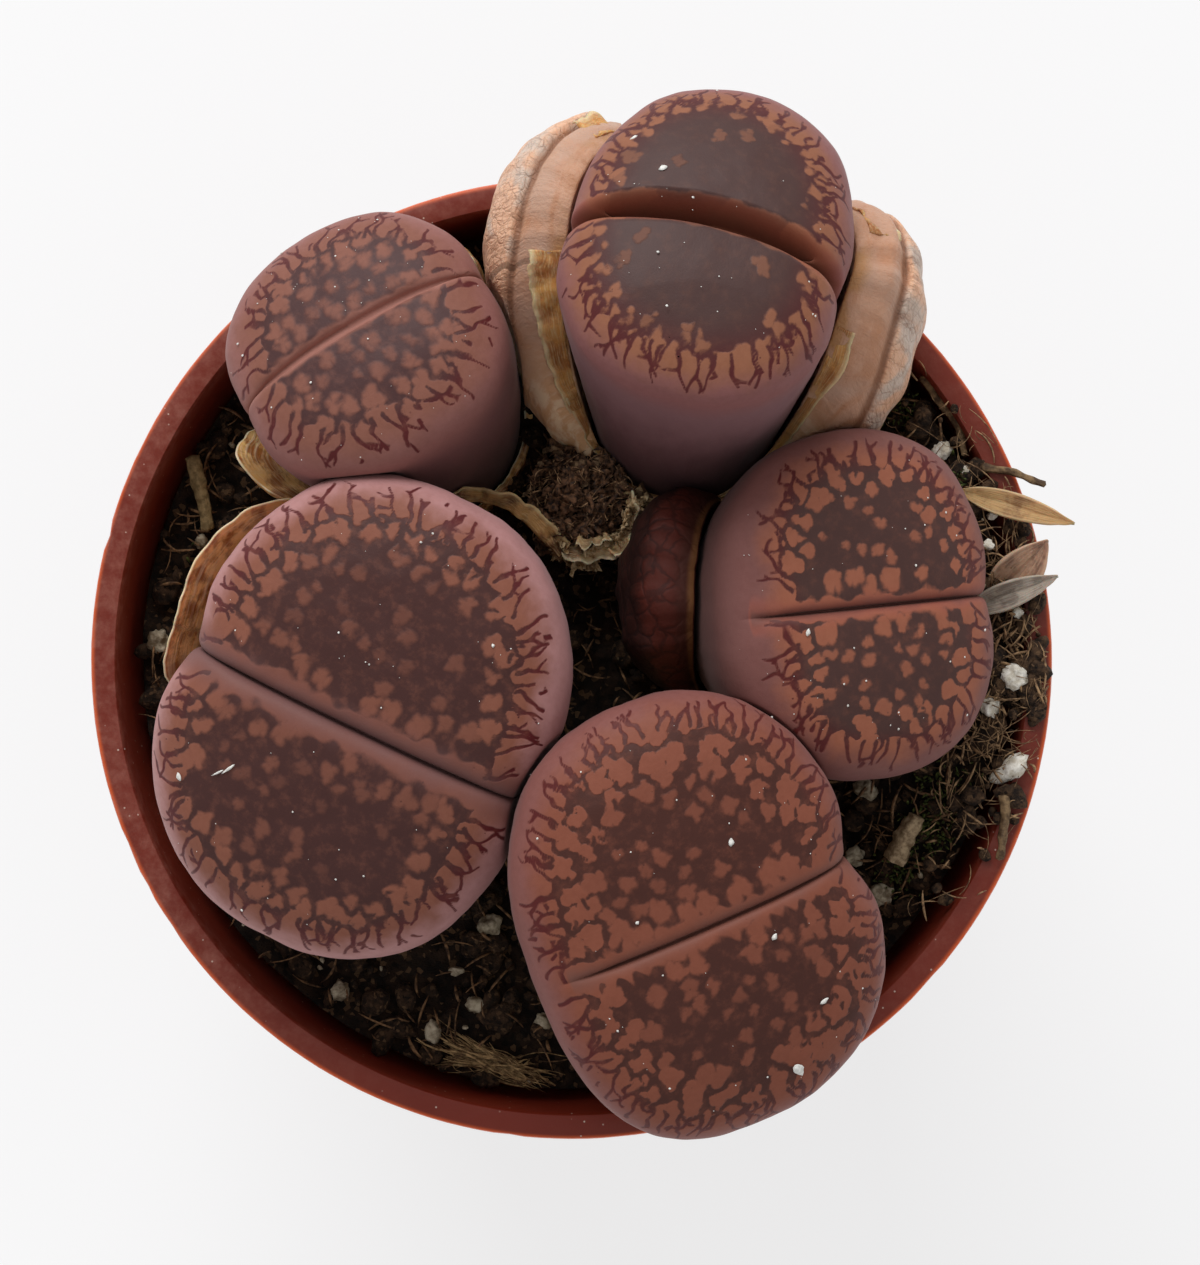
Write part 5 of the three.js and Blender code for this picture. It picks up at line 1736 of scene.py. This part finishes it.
peat = peat_finish("peat", (22, 15, 11), (58, 42, 31))
dress(make_soil_bed(), peat, "soil")
dress(make_crumbs(), peat_finish("peat_crumb", (30, 21, 15), (84, 62, 45), 1.6))
dress(make_spill(), peat_finish("peat_clod", (34, 24, 18), (98, 74, 54), 1.6))
dress(make_litter_fibres(), plain_grained("litter_fibre", (88, 62, 42), (176, 142, 104)))
dress(make_peat_fibres(), plain_grained("peat_fibre", (62, 43, 29), (150, 114, 80)))
perlite = plain_grained("perlite", (206, 196, 176), (246, 242, 232), 1.4, strength=1.0)
stained_perlite = plain_grained("stained_perlite", (104, 88, 66), (200, 188, 164), 1.0, strength=1.0)
for name, finish, side in (("perlite", perlite, 1), ("perlite_stained", stained_perlite, -1)):
    dress(make_perlite(name, [grain for grain in PERLITE if side * (grain[0] - 23) > 0]), finish)
dress(make_perlite_dust(), stained_perlite)
dress(make_moss(), plain_grained("moss", (48, 58, 22), (92, 100, 48)))

dress(make_flower_dome(), peat_finish("flower_felt", (42, 28, 21), (92, 66, 50), 1.8),
      "dried_flower")
dress(make_flower_fibres(), plain_grained("flower_fibre", (100, 72, 50), (196, 156, 116)))
dark_scrap = plain_grained("dark_scrap", (32, 20, 15), (122, 86, 60), 2.6)
brown_scrap = plain_grained("brown_scrap", (84, 60, 42), (150, 122, 92), 2.6)
pale_scrap = plain_grained("pale_scrap", (150, 108, 60), (240, 214, 170), 2.6)
white_scrap = plain_grained("white_scrap", (206, 198, 182), (240, 236, 226), 2.6)
dress(make_withered_petals("petals_dark", 320, (0, 6.28), (0.0, 3.9), 1.25, 3), dark_scrap)
dress(make_withered_petals("petals_brown", 60, (0, 6.28), (0.6, 4.2), 0.9, 4), brown_scrap)
dress(make_withered_petals("petals_pale", 110, (-2.1, 0.1), (3.2, 4.2), 1.0, 5, 1.4), pale_scrap)
dress(make_withered_petals("petal_white", 3, (1.2, 1.5), (0.2, 0.5), 0.7, 8), white_scrap)
crust_paper = paper_finish("crust_paper", paper, "strip", (120, 84, 44), (196, 158, 108), (240, 220, 184))
for name, turns, near, far, seed, crumple, ragged in (
        ("crust_low", (-128, -20), (2.7, 60.6), (4.1, 61.3), 21, 0.55, 0.4),
        ("crust_right", (-60, 24), (3.0, 61.3), (3.9, 62.0), 23, 0.5, 0.5),
        ("crust_inner", (-110, -50), (2.0, 61.6), (2.9, 62.0), 27, 0.5, 0.5)):
    dress(crust(name, turns, near, far, seed, crumple=crumple, ragged=ragged), crust_paper)
torn_paper = paper_finish("torn_paper", paper, "strip", (104, 62, 26), (178, 130, 72), (208, 178, 130))
dress(torn_strip("strip_middle", [(-9.0, 11.6, 62.4), (-5.0, 10.9, 62.6), (-2.6, 9.2, 61.8), (-0.9, 7.4, 61.0)],
                 [(-8.8, 12.8, 62.8), (-4.6, 12.3, 63.2), (-1.8, 10.4, 62.5), (0.1, 8.6, 61.6)], 31, crumple=0.5,
                 ragged=0.3), torn_paper)

tan = paper_finish("litter_tan", paper, "strip", (128, 88, 48), (186, 148, 96), (206, 176, 132))
grey = paper_finish("litter_grey", paper, "strip", (98, 84, 72), (150, 138, 124), (176, 164, 148))
brown = paper_finish("litter_brown", paper, "strip", (110, 78, 60), (166, 128, 102), (194, 164, 136))
bark = plain_grained("twig_bark", (74, 54, 36), (142, 116, 84), 1.6, stretch=(1, 1, 0.4))
for name, start, end, width, blunt, finish in (
        ("leaf_tan", (28.2, 12.2, 62.6), (36.4, 9.8, 63.6), 1.9, 0.12, tan),
        ("leaf_grey", (28.6, 3.5, 62.9), (35.2, 6.0, 63.6), 2.0, 0.12, grey),
        ("leaf_brown", (30.6, 4.0, 61.6), (34.5, 8.6, 63.4), 3.4, 0.5, brown)):
    dress(dry_leaf(name, start, end, width, blunt), finish, "dry_" + name)
chip_wood = plain_grained("chip_wood", (128, 106, 78), (196, 172, 138))
straw = plain_grained("straw", (112, 92, 60), (158, 134, 94))
for name, start, end, width, seed, bend, finish, stands_for in (
        ("chip_bark", (23.6, -14.9, 59.6), (25.3, -11.4, 60.4), 1.7, 2.0, 0.1, chip_wood, "bark_chip"),
        ("stalk_back", (25.4, 20.6, 60.4), (28.8, 14.8, 61.0), 0.7, 1.0, 0.5, bark, "twig_back"),
        ("stalk_right", (29.8, 14.0, 62.0), (34.4, 12.6, 63.2), 0.6, 3.0, 0.2, bark, "twig_right"),
        ("stalk_front", (31.4, -9.8, 62.9), (31.0, -14.6, 62.9), 0.7, 5.0, 0.2, bark, "twig_front"),
        ("straw_stalk", (-28.0, 15.0, 57.2), (-26.8, 9.4, 56.2), 1.1, 7.0, 0.1, straw, "straw")):
    dress(twig(name, start, end, width, seed, bend), finish, stands_for)
dress(make_wood_fibre(), plain_grained("wood_fibre", (98, 74, 47), (190, 158, 112)), "wood_fibre")
dress(make_grit(), plain_grained("white_grit", (222, 220, 214), (246, 245, 240), 3.0))
